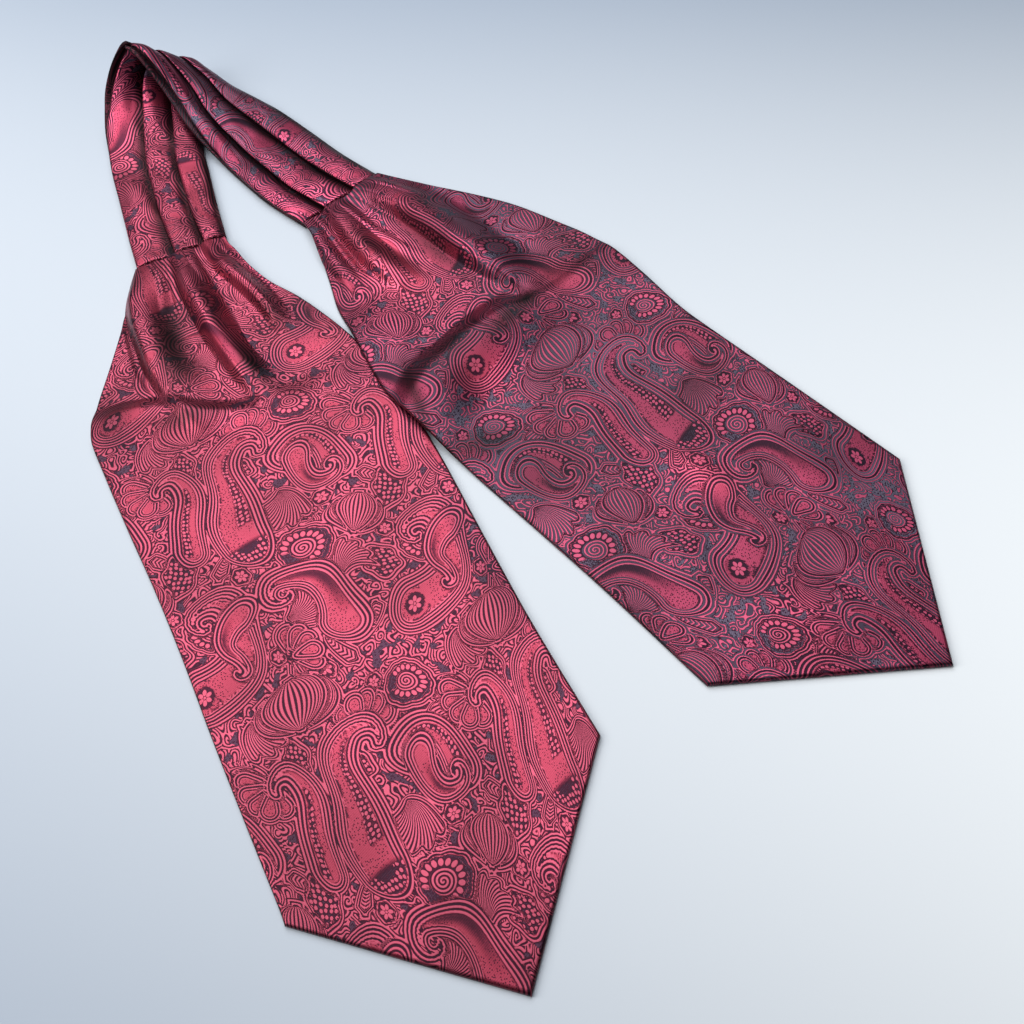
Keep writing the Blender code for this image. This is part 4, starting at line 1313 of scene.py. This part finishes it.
def with_marks(wire, drawn, kind):
    """The drawing with the small bright shapes on it, each in the frame that a point carries."""
    spot = wire.carried("spot")
    x, y, _ = wire.split(spot)
    away, turns = polar(wire, x, y)

    def is_kind(number):
        return wire.smooth(wire.math("ABSOLUTE", wire.math("SUBTRACT", kind, number)), 0.3, 0.2)

    to_pearl = cells(wire, spot, 1.0, PEARL_ORDER)["Distance"]
    pearl = wire.math("MULTIPLY_ADD", to_pearl, 1 / PEARL_RADIUS, -1.0)
    heart = wire.math("MULTIPLY_ADD", away, 1 / HEART_RADIUS, -1.0)
    bloom_of_six = wire.math("MINIMUM", petals(wire, away, turns, *SIX_PETALS), heart)
    teeth = petals(wire, away, turns, *WHEEL_TEETH)
    shape = wire.mix(is_kind(FLOWER), teeth, bloom_of_six)
    shape = wire.mix(is_kind(PEARLS), shape, pearl)
    marked = wire.smooth(kind, 0.6, 0.8)
    drawn = wire.mix(wire.math("MULTIPLY", wire.smooth(shape, 0.75, 0.35), marked), drawn, SHADOW_TONE)
    drawn = wire.mix(wire.math("MULTIPLY", wire.smooth(shape, 0.12, -0.12), marked), drawn, MARK_TONE)
    curl = toned(wire, strands(wire, wire.math("SUBTRACT", wire.math("DIVIDE", away, CURL_PITCH), turns)))
    rim = wire.smooth(away, CURL_RADIUS + 0.04, CURL_RADIUS - 0.04)
    in_curl = wire.math("MULTIPLY", rim, is_kind(WHEEL))
    return wire.mix(in_curl, drawn, curl)


print("the small bright shapes take", nodes_taken(lambda wire: with_marks(wire, 0.5, 0.0)), "nodes")

# %% [markdown]
# The whole drawing
#
# The layers go on as in the weave: the filling, the plain ground, threads along every
# outline, the ribs of leaves, red fields with seeds, dark beds, a fine dark outline, and
# last the pearls and petals.

# %% The whole drawing
TWILL_LEAN, TWILL_PITCH = 0.35, 0.85
DOT_PITCH, DOT_ORDER = 1.5, 0.2
FIELD_TONE, GROUND_TONE, STIPPLE_TONE = 0.66, 0.05, 0.13
OUTLINES_REACH = 3.4


def drawing(wire):
    """Tone of the woven drawing from 0, the plum ground, to 1, the lightest thread."""
    place_mm = wire.cloth_place()
    across, along, _ = wire.split(place_mm)
    edge, rib, kind = wire.split(wire.carried("lines"))
    ribbed, field, dark = wire.split(wire.carried("zones"))

    twill = wire.math("DIVIDE", wire.math("MULTIPLY_ADD", across, TWILL_LEAN, along), TWILL_PITCH)
    twill_wave = wire.math("COSINE", wire.math("MULTIPLY", twill, 2 * math.pi))
    thread = wire.math("MULTIPLY_ADD", twill_wave, 0.5, 0.5)
    dot = cells(wire, place_mm, DOT_PITCH, DOT_ORDER)["Distance"]
    drawn, bare, chance = filling(wire, place_mm)
    stipple = wire.smooth(dot, 0.36, 0.22, 0.0, STIPPLE_TONE)
    ground = wire.math("ADD", wire.math("MULTIPLY_ADD", thread, 0.10, GROUND_TONE), stipple)
    drawn = wire.mix(bare, drawn, ground)
    beside = wire.smooth(wire.math("ABSOLUTE", wire.math("ADD", edge, 0.3)),
                         OUTLINES_REACH + 0.4, OUTLINES_REACH - 0.4)
    outline = toned(wire, strands(wire, wire.math("MULTIPLY_ADD", edge, 1 / OUTLINE_PITCH, 0.5)))
    drawn = wire.mix(beside, drawn, outline)
    inside = wire.math("MULTIPLY", ribbed, wire.smooth(edge, -0.4, -0.8))
    drawn = wire.mix(inside, drawn, toned(wire, strands(wire, rib)))
    seed = wire.math("MULTIPLY", wire.smooth(dot, 0.24, 0.14), wire.smooth(chance, 0.2, 0.4))
    seeded = wire.math("MULTIPLY", wire.math("MULTIPLY_ADD", thread, 0.07, FIELD_TONE),
                       wire.math("MULTIPLY_ADD", seed, -0.55, 1.0))
    drawn = wire.mix(field, drawn, seeded)
    drawn = wire.mix(dark, drawn, ground)
    fine_line = wire.smooth(wire.math("ABSOLUTE", edge), 0.55, 0.25)
    drawn = wire.mix(fine_line, drawn, RED_GAP)
    return with_marks(wire, drawn, kind)


print("the whole drawing takes", nodes_taken(drawing), "nodes")

# %% [markdown]
# The silk's colour and sheen
#
# The red threads lie along the cloth and the plum ones across it, so which of them shines
# depends on how the cloth turns to the light. That sheen is painted into the colour, not
# worked out from the lamps: the mesh carries it as one number, lustre, given for each piece
# and its sheen patches. At 0 the red floats shine, and at 1 the plum ground does and the red
# goes quiet. The painted shade that the mesh carries darkens the colour, and lightens it as
# a painted highlight where it is below 0. Silk has a coloured, almost metal-like sheen, so
# most of its colour is put into the reflection.

# %% The silk material
# The silk's colours painted twice: as they look where the red floats shine, and where the plum ground shines
# instead. The painted lustre mixes the two.
RED_SHEEN_RAMP = (
    # tone, colour on the screen
    (0.0, (112, 74, 98)), (0.14, (98, 52, 78)), (0.27, (70, 18, 46)), (0.46, (128, 36, 64)),
    (0.66, (206, 68, 94)), (0.84, (242, 104, 132)), (1.0, (255, 170, 192)))
PLUM_SHEEN_RAMP = (
    (0.0, (144, 138, 158)), (0.12, (124, 112, 136)), (0.22, (36, 12, 42)), (0.46, (60, 18, 48)),
    (0.66, (182, 62, 100)), (0.84, (238, 98, 138)), (1.0, (248, 154, 184)))
RED_SHINE, PLUM_SHINE = 0.43, 0.31
CLOUD_SIZE, CLOUD_DIM, CLOUD_LIFT = 34.0, 0.84, 1.12
METAL_SHARE = 0.8
GROUND_ROUGHNESS, THREAD_ROUGHNESS = 0.44, 0.36
RELIEF_MM, RELIEF_STRENGTH = 0.12, 0.6


def paisley_silk(name):
    """The woven silk, from the fields that a piece carries."""
    material = bpy.data.materials.new(name)
    material.use_nodes = True
    wire = Wiring(material.node_tree)
    wire.lustre = wire.carried("lustre", "Fac")
    principled = material.node_tree.nodes["Principled BSDF"]
    drawn = drawing(wire)
    red, plum = (wire.ramp(drawn, [(at, tint(*colour)) for at, colour in stops])
                 for stops in (RED_SHEEN_RAMP, PLUM_SHEEN_RAMP))
    _, _, shade = wire.split(wire.carried("spot"))
    place_mm = wire.cloth_place()
    cloud = wire.smooth(noise(wire, place_mm, CLOUD_SIZE)["Fac"], 0.3, 0.7, CLOUD_DIM, CLOUD_LIFT)
    # Painted sheen sets how bright the colour is, and the painted shade darkens it or, below 0, lightens it
    shine = wire.mix(wire.lustre, RED_SHINE, PLUM_SHINE)
    shine = wire.math("MULTIPLY", wire.math("SUBTRACT", 1.0, shade), shine)
    shine = wire.math("MULTIPLY", shine, cloud)
    wire.put(principled.inputs["Base Color"], wire.scaled(wire.blend(wire.lustre, red, plum), shine))
    roughness = wire.smooth(drawn, 0.2, 0.8, GROUND_ROUGHNESS, THREAD_ROUGHNESS)
    wire.put(principled.inputs["Roughness"], roughness)
    principled.inputs["Metallic"].default_value = METAL_SHARE
    principled.inputs["Specular IOR Level"].default_value = 0.5
    relief = wire.node("ShaderNodeBump")
    relief.inputs["Strength"].default_value = RELIEF_STRENGTH
    relief.inputs["Distance"].default_value = RELIEF_MM * METRE
    wire.put(relief.inputs["Height"], drawn)
    wire.put(principled.inputs["Normal"], relief.outputs[0])
    print(name, "has", len(material.node_tree.nodes), "nodes")
    return material


silk = paisley_silk("paisley_silk")
for piece in cloth_pieces.values():
    piece.data.materials.append(silk)

# %% Each piece takes its solid's place
for node, piece in cloth_pieces.items():
    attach(piece, "root")
    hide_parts(node)
print("pieces that take a solid's place:", len(cloth_pieces))

# %% [markdown]
# Stitches of silk thread
#
# The neck band is a strip whose long edges meet underneath, where slip stitches close it.
# At each end a row of small stitches catches the pleats to the blade. One stitch is a
# short grain of thread. Geometry Nodes lays a row of them along a line, each one turned a
# little by chance, as it comes out of a hand.

# %% Lines that the stitches follow
# Numbers of points round the band: both sides of the seam, and the first and last of its top
SEAM_ASIDE = (26, 34)
TOP_FROM, TOP_END = 78, -9
SEAM_SPARE = 6
TABLE_CLEAR = 0.16


def stitch_line(name, points, ups):
    """A line through points, which carries the way that is up from the cloth."""
    mesh = bpy.data.meshes.new(name)
    links = [(k, k + 1) for k in range(len(points) - 1)]
    mesh.from_pydata(((points - ORIGIN_SHIFT) * METRE).tolist(), links, [])
    carried = mesh.attributes.new("up", "FLOAT_VECTOR", "POINT")
    carried.data.foreach_set("vector", ups.astype(np.float32).ravel())
    return in_scene(name, mesh)


def band_lines(name, visible, first, last, join):
    """The underside seam of a band half, and the line where its end meets the blade."""
    rings, _, _ = band_rings(visible, first, last)
    seam = rings[:, SEAM_ASIDE, :].mean(axis=1)
    seam[:, 2] = np.maximum(seam[:, 2], TABLE_CLEAR)
    aside = rings[:, SEAM_ASIDE[1]] - rings[:, SEAM_ASIDE[0]]
    outward = np.cross(aside, np.gradient(seam, axis=0))
    outward *= np.sign((outward * (seam - rings.mean(axis=1))).sum(axis=1, keepdims=True))
    outward /= np.linalg.norm(outward, axis=1, keepdims=True)
    top = rings[join, TOP_FROM:TOP_END]
    upward = np.tile((0.0, 0.0, 1.0), (len(top), 1))
    inner = slice(SEAM_SPARE, -SEAM_SPARE)
    return stitch_line(name + "_seam", seam[inner], outward[inner]), stitch_line(name + "_join", top, upward)


near_lines = band_lines("near", 1, 0, CENTRE_BACK, 0)
far_lines = band_lines("far", -1, CENTRE_BACK, len(NECK_ROWS) - 1, -1)
print("points on the seam lines:", len(near_lines[0].data.vertices), len(far_lines[0].data.vertices))


# %% Silk thread
THREAD_UNEVEN = 1.5
THREAD_DARK, THREAD_LIGHT = (*tint(96, 18, 40), 1.0), (*tint(168, 44, 70), 1.0)


def thread_material(name):
    """Dark red sewing thread, a little uneven in tone."""
    material = bpy.data.materials.new(name)
    material.use_nodes = True
    wire = Wiring(material.node_tree)
    principled = material.node_tree.nodes["Principled BSDF"]
    place_mm = wire.scaled(wire.node("ShaderNodeTexCoord").outputs["Object"], 1 / METRE)
    uneven = noise(wire, place_mm, THREAD_UNEVEN)["Fac"]
    wire.put(principled.inputs["Base Color"], wire.blend(uneven, THREAD_DARK, THREAD_LIGHT))
    wire.put(principled.inputs["Roughness"], wire.smooth(uneven, 0.2, 0.8, 0.5, 0.4))
    principled.inputs["Sheen Weight"].default_value = 0.2
    return material


thread = thread_material("silk_thread")
print("thread material:", thread.name)


# %% A row of stitches, as nodes
GRAIN_SIDES, GRAIN_RINGS = 8, 5
GRAIN_FLAT = 1.4
CHANCE_TURN = 0.16


def stitch_row_nodes():
    """Nodes that lay grains of thread along a line."""
    tree = bpy.data.node_groups.new("row_of_stitches", "GeometryNodeTree")
    for title, kind in (("Line", "Geometry"), ("Spacing", "Float"), ("Length", "Float"),
                        ("Thickness", "Float"), ("Turn", "Float"), ("Seed", "Int"), ("Thread", "Material")):
        tree.interface.new_socket(title, in_out="INPUT", socket_type="NodeSocket" + kind)
    tree.interface.new_socket("Stitches", in_out="OUTPUT", socket_type="NodeSocketGeometry")
    wire = Wiring(tree)
    given = wire.node("NodeGroupInput").outputs

    def step(kind, settings=None, **inputs):
        made = wire.node(kind, **(settings or {}))
        for title, value in inputs.items():
            wire.put(made.inputs[title.replace("_", " ")], value)
        return made.outputs[0]

    curve = step("GeometryNodeMeshToCurve", Mesh=given["Line"])
    places = step("GeometryNodeResampleCurve", dict(mode="LENGTH"), Curve=curve, Length=given["Spacing"])
    grain = step("GeometryNodeMeshUVSphere", Segments=GRAIN_SIDES, Rings=GRAIN_RINGS, Radius=0.5)
    size = step("ShaderNodeCombineXYZ", X=given["Length"], Z=given["Thickness"],
                Y=wire.math("MULTIPLY", given["Thickness"], GRAIN_FLAT))
    grain = step("GeometryNodeTransform", Geometry=grain, Scale=size)
    up = step("GeometryNodeInputNamedAttribute", dict(data_type="FLOAT_VECTOR"), Name="up")
    stood = step("FunctionNodeAlignRotationToVector", dict(axis="Z"), Vector=up)
    tangent = step("GeometryNodeInputTangent")
    led = step("FunctionNodeAlignRotationToVector", dict(axis="X", pivot_axis="Z"),
               Rotation=stood, Vector=tangent)
    chance = step("FunctionNodeRandomValue", dict(data_type="FLOAT_VECTOR"), Min=(0.0, 0.0, -CHANCE_TURN),
                  Max=(0.0, 0.0, CHANCE_TURN), Seed=given["Seed"])
    turned = wire.vector("ADD", chance, step("ShaderNodeCombineXYZ", Z=given["Turn"]))
    turn = step("FunctionNodeEulerToRotation", Euler=turned)
    led = step("FunctionNodeRotateRotation", dict(rotation_space="LOCAL"), Rotation=led, Rotate_By=turn)
    laid = step("GeometryNodeInstanceOnPoints", Points=places, Instance=grain, Rotation=led)
    real = step("GeometryNodeRealizeInstances", Geometry=laid)
    soft = step("GeometryNodeSetShadeSmooth", Geometry=real)
    painted = step("GeometryNodeSetMaterial", Geometry=soft, Material=given["Thread"])
    wire.put(wire.node("NodeGroupOutput").inputs["Stitches"], painted)
    return tree


stitch_nodes = stitch_row_nodes()
print("the row of stitches takes", len(stitch_nodes.nodes), "nodes")


# %% Sew the rows
THREAD_THICK = 0.3
SLIP_STITCH = dict(spacing=5.0, length=2.6, turn=24.0)
CATCH_STITCH = dict(spacing=3.2, length=1.8, turn=90.0)


def sew(name, line, seed, spacing, length, turn):
    """A row of stitches along a line, as a plain mesh."""
    maker = line.modifiers.new("sewing", "NODES")
    maker.node_group = stitch_nodes
    sockets = {item.name: item.identifier for item in stitch_nodes.interface.items_tree
               if item.in_out == "INPUT"}
    settings = dict(Spacing=spacing * METRE, Length=length * METRE, Thickness=THREAD_THICK * METRE,
                    Turn=math.radians(turn), Seed=seed, Thread=thread)
    for title, value in settings.items():
        maker[sockets[title]] = value
    ready = line.evaluated_get(bpy.context.evaluated_depsgraph_get())
    mesh = bpy.data.meshes.new_from_object(ready)
    mesh.name = name
    made = in_scene(name, mesh)
    bpy.data.objects.remove(line)
    print(name, "has", len(mesh.polygons), "faces")
    return made


stitch_rows = [
    sew("near_band_slip_stitches", near_lines[0], 1, **SLIP_STITCH),
    sew("far_band_slip_stitches", far_lines[0], 2, **SLIP_STITCH),
    sew("near_join_stitches", near_lines[1], 3, **CATCH_STITCH),
    sew("far_join_stitches", far_lines[1], 4, **CATCH_STITCH),
]
for row in stitch_rows:
    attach(row, "root")

# %% [markdown]
# Table, light and camera
#
# The cravat lies on a plain pale table under two large soft lights, one from the side and
# one from above, and the camera stands over it, tilted a little and turned.

# %% Table
def flat_sheet(name, size, z):
    """A plain square sheet that lies at a height, with its top up."""
    mesh = bpy.data.meshes.new(name)
    h = size / 2
    mesh.from_pydata([(-h, -h, z), (h, -h, z), (h, h, z), (-h, h, z)], [], [(0, 1, 2, 3)])
    return in_scene(name, mesh)


TABLE_SIZE, TABLE_TOP = 6.0, -0.0002
table = flat_sheet("table", TABLE_SIZE, TABLE_TOP)
print("the table is", TABLE_SIZE, "m wide, its top at", round(TABLE_TOP / METRE, 1), "mm")

# %% [markdown]
# The light on the table
#
# The picture's table is brightest to the lower right and greyer toward its far side. That
# is a soft fall of light, and here the paint follows it: one smooth curve of the place on
# the table, from a darker to a lighter pale blue, with an even middle tone farther out.

# %% Pale table paint
PAINT_DARK, PAINT_LIGHT = (0.324, 0.378, 0.455, 1.0), (0.886, 0.918, 0.931, 1.0)
PAINT_FALL = (0.08, 0.61, -0.64, -0.37, -4.96, -2.96)
PAINT_LOW, PAINT_SPAN = 0.64, 0.87
PAINT_MIDDLE_X = 0.05
PAINT_ROUGHNESS = 0.55
EVEN_FROM, EVEN_TO = 0.5, 0.9

table_paint = bpy.data.materials.new("pale_table")
table_paint.use_nodes = True
brush = Wiring(table_paint.node_tree)
table_x, table_y, _ = brush.split(brush.node("ShaderNodeTexCoord").outputs["Object"])
away_from_middle, _ = polar(brush, brush.math("SUBTRACT", table_x, PAINT_MIDDLE_X), table_y)
terms = (table_x, table_y, brush.math("MULTIPLY", table_x, table_x),
         brush.math("MULTIPLY", table_x, table_y), brush.math("MULTIPLY", table_y, table_y))
fall = PAINT_FALL[0]
for size, term in zip(PAINT_FALL[1:], terms):
    fall = brush.math("MULTIPLY_ADD", term, size, fall)
light = brush.math("DIVIDE", brush.math("SUBTRACT", brush.math("EXPONENT", fall), PAINT_LOW), PAINT_SPAN)
light = brush.math("MINIMUM", brush.math("MAXIMUM", light, 0.0), 1.0)
even = (1.0 - PAINT_LOW) / PAINT_SPAN
light = brush.mix(brush.smooth(away_from_middle, EVEN_FROM, EVEN_TO), light, even)
paint = table_paint.node_tree.nodes["Principled BSDF"]
brush.put(paint.inputs["Base Color"], brush.blend(light, PAINT_DARK, PAINT_LIGHT))
paint.inputs["Roughness"].default_value = PAINT_ROUGHNESS
table.data.materials.append(table_paint)
print("table paint has", len(table_paint.node_tree.nodes), "nodes")

# %% Light
ROOM_COLOUR, ROOM_STRENGTH = (0.80, 0.88, 1.0, 1.0), 0.12
room = bpy.data.worlds.new("room")
bpy.context.scene.world = room
room.use_nodes = True
room.node_tree.nodes["Background"].inputs["Color"].default_value = ROOM_COLOUR
room.node_tree.nodes["Background"].inputs["Strength"].default_value = ROOM_STRENGTH


def soft_light(name, place_at, aim, size, power, colour):
    """A square soft light at a place, turned to face a point."""
    data = bpy.data.lights.new(name, "AREA")
    data.shape = "SQUARE"
    data.size = size
    data.energy = power
    data.color = colour
    made = in_scene(name, data)
    made.location = place_at
    made.rotation_euler = (Vector(aim) - Vector(place_at)).to_track_quat("-Z", "Y").to_euler()
    return made


window = soft_light("window", (-1.1, 0.0, 0.85), (0.0, -0.05, 0.0), 0.8, 12.0, (1.0, 0.98, 0.96))
ceiling = soft_light("ceiling", (-0.1, 0.7, 1.3), (0.0, 0.0, 0.0), 1.5, 27.0, (0.95, 0.97, 1.0))
print("watts:", window.data.energy, "from the side and", ceiling.data.energy, "from above")

# %% Camera
CAMERA_PLACE = (0.01187, -0.35493, 0.42373)
CAMERA_TILT = 32.4934
CAMERA_ROLL = -11.9139
FOCAL_PIXELS = 1100.0
IMAGE_PIXELS = 1024.0
SENSOR_WIDTH = 36.0
lens = bpy.data.cameras.new("camera")
lens.sensor_width = SENSOR_WIDTH
lens.lens = FOCAL_PIXELS / IMAGE_PIXELS * SENSOR_WIDTH
lens.clip_start = 0.01
camera = in_scene("camera", lens)
camera.matrix_world = (Matrix.Translation(CAMERA_PLACE)
                       @ Matrix.Rotation(math.radians(CAMERA_TILT), 4, "X")
                       @ Matrix.Rotation(math.radians(CAMERA_ROLL), 4, "Z"))
bpy.context.scene.camera = camera
bpy.context.scene.view_settings.view_transform = "Standard"
print("the lens is", round(lens.lens, 1), "mm long,", CAMERA_PLACE[2], "m over the table")
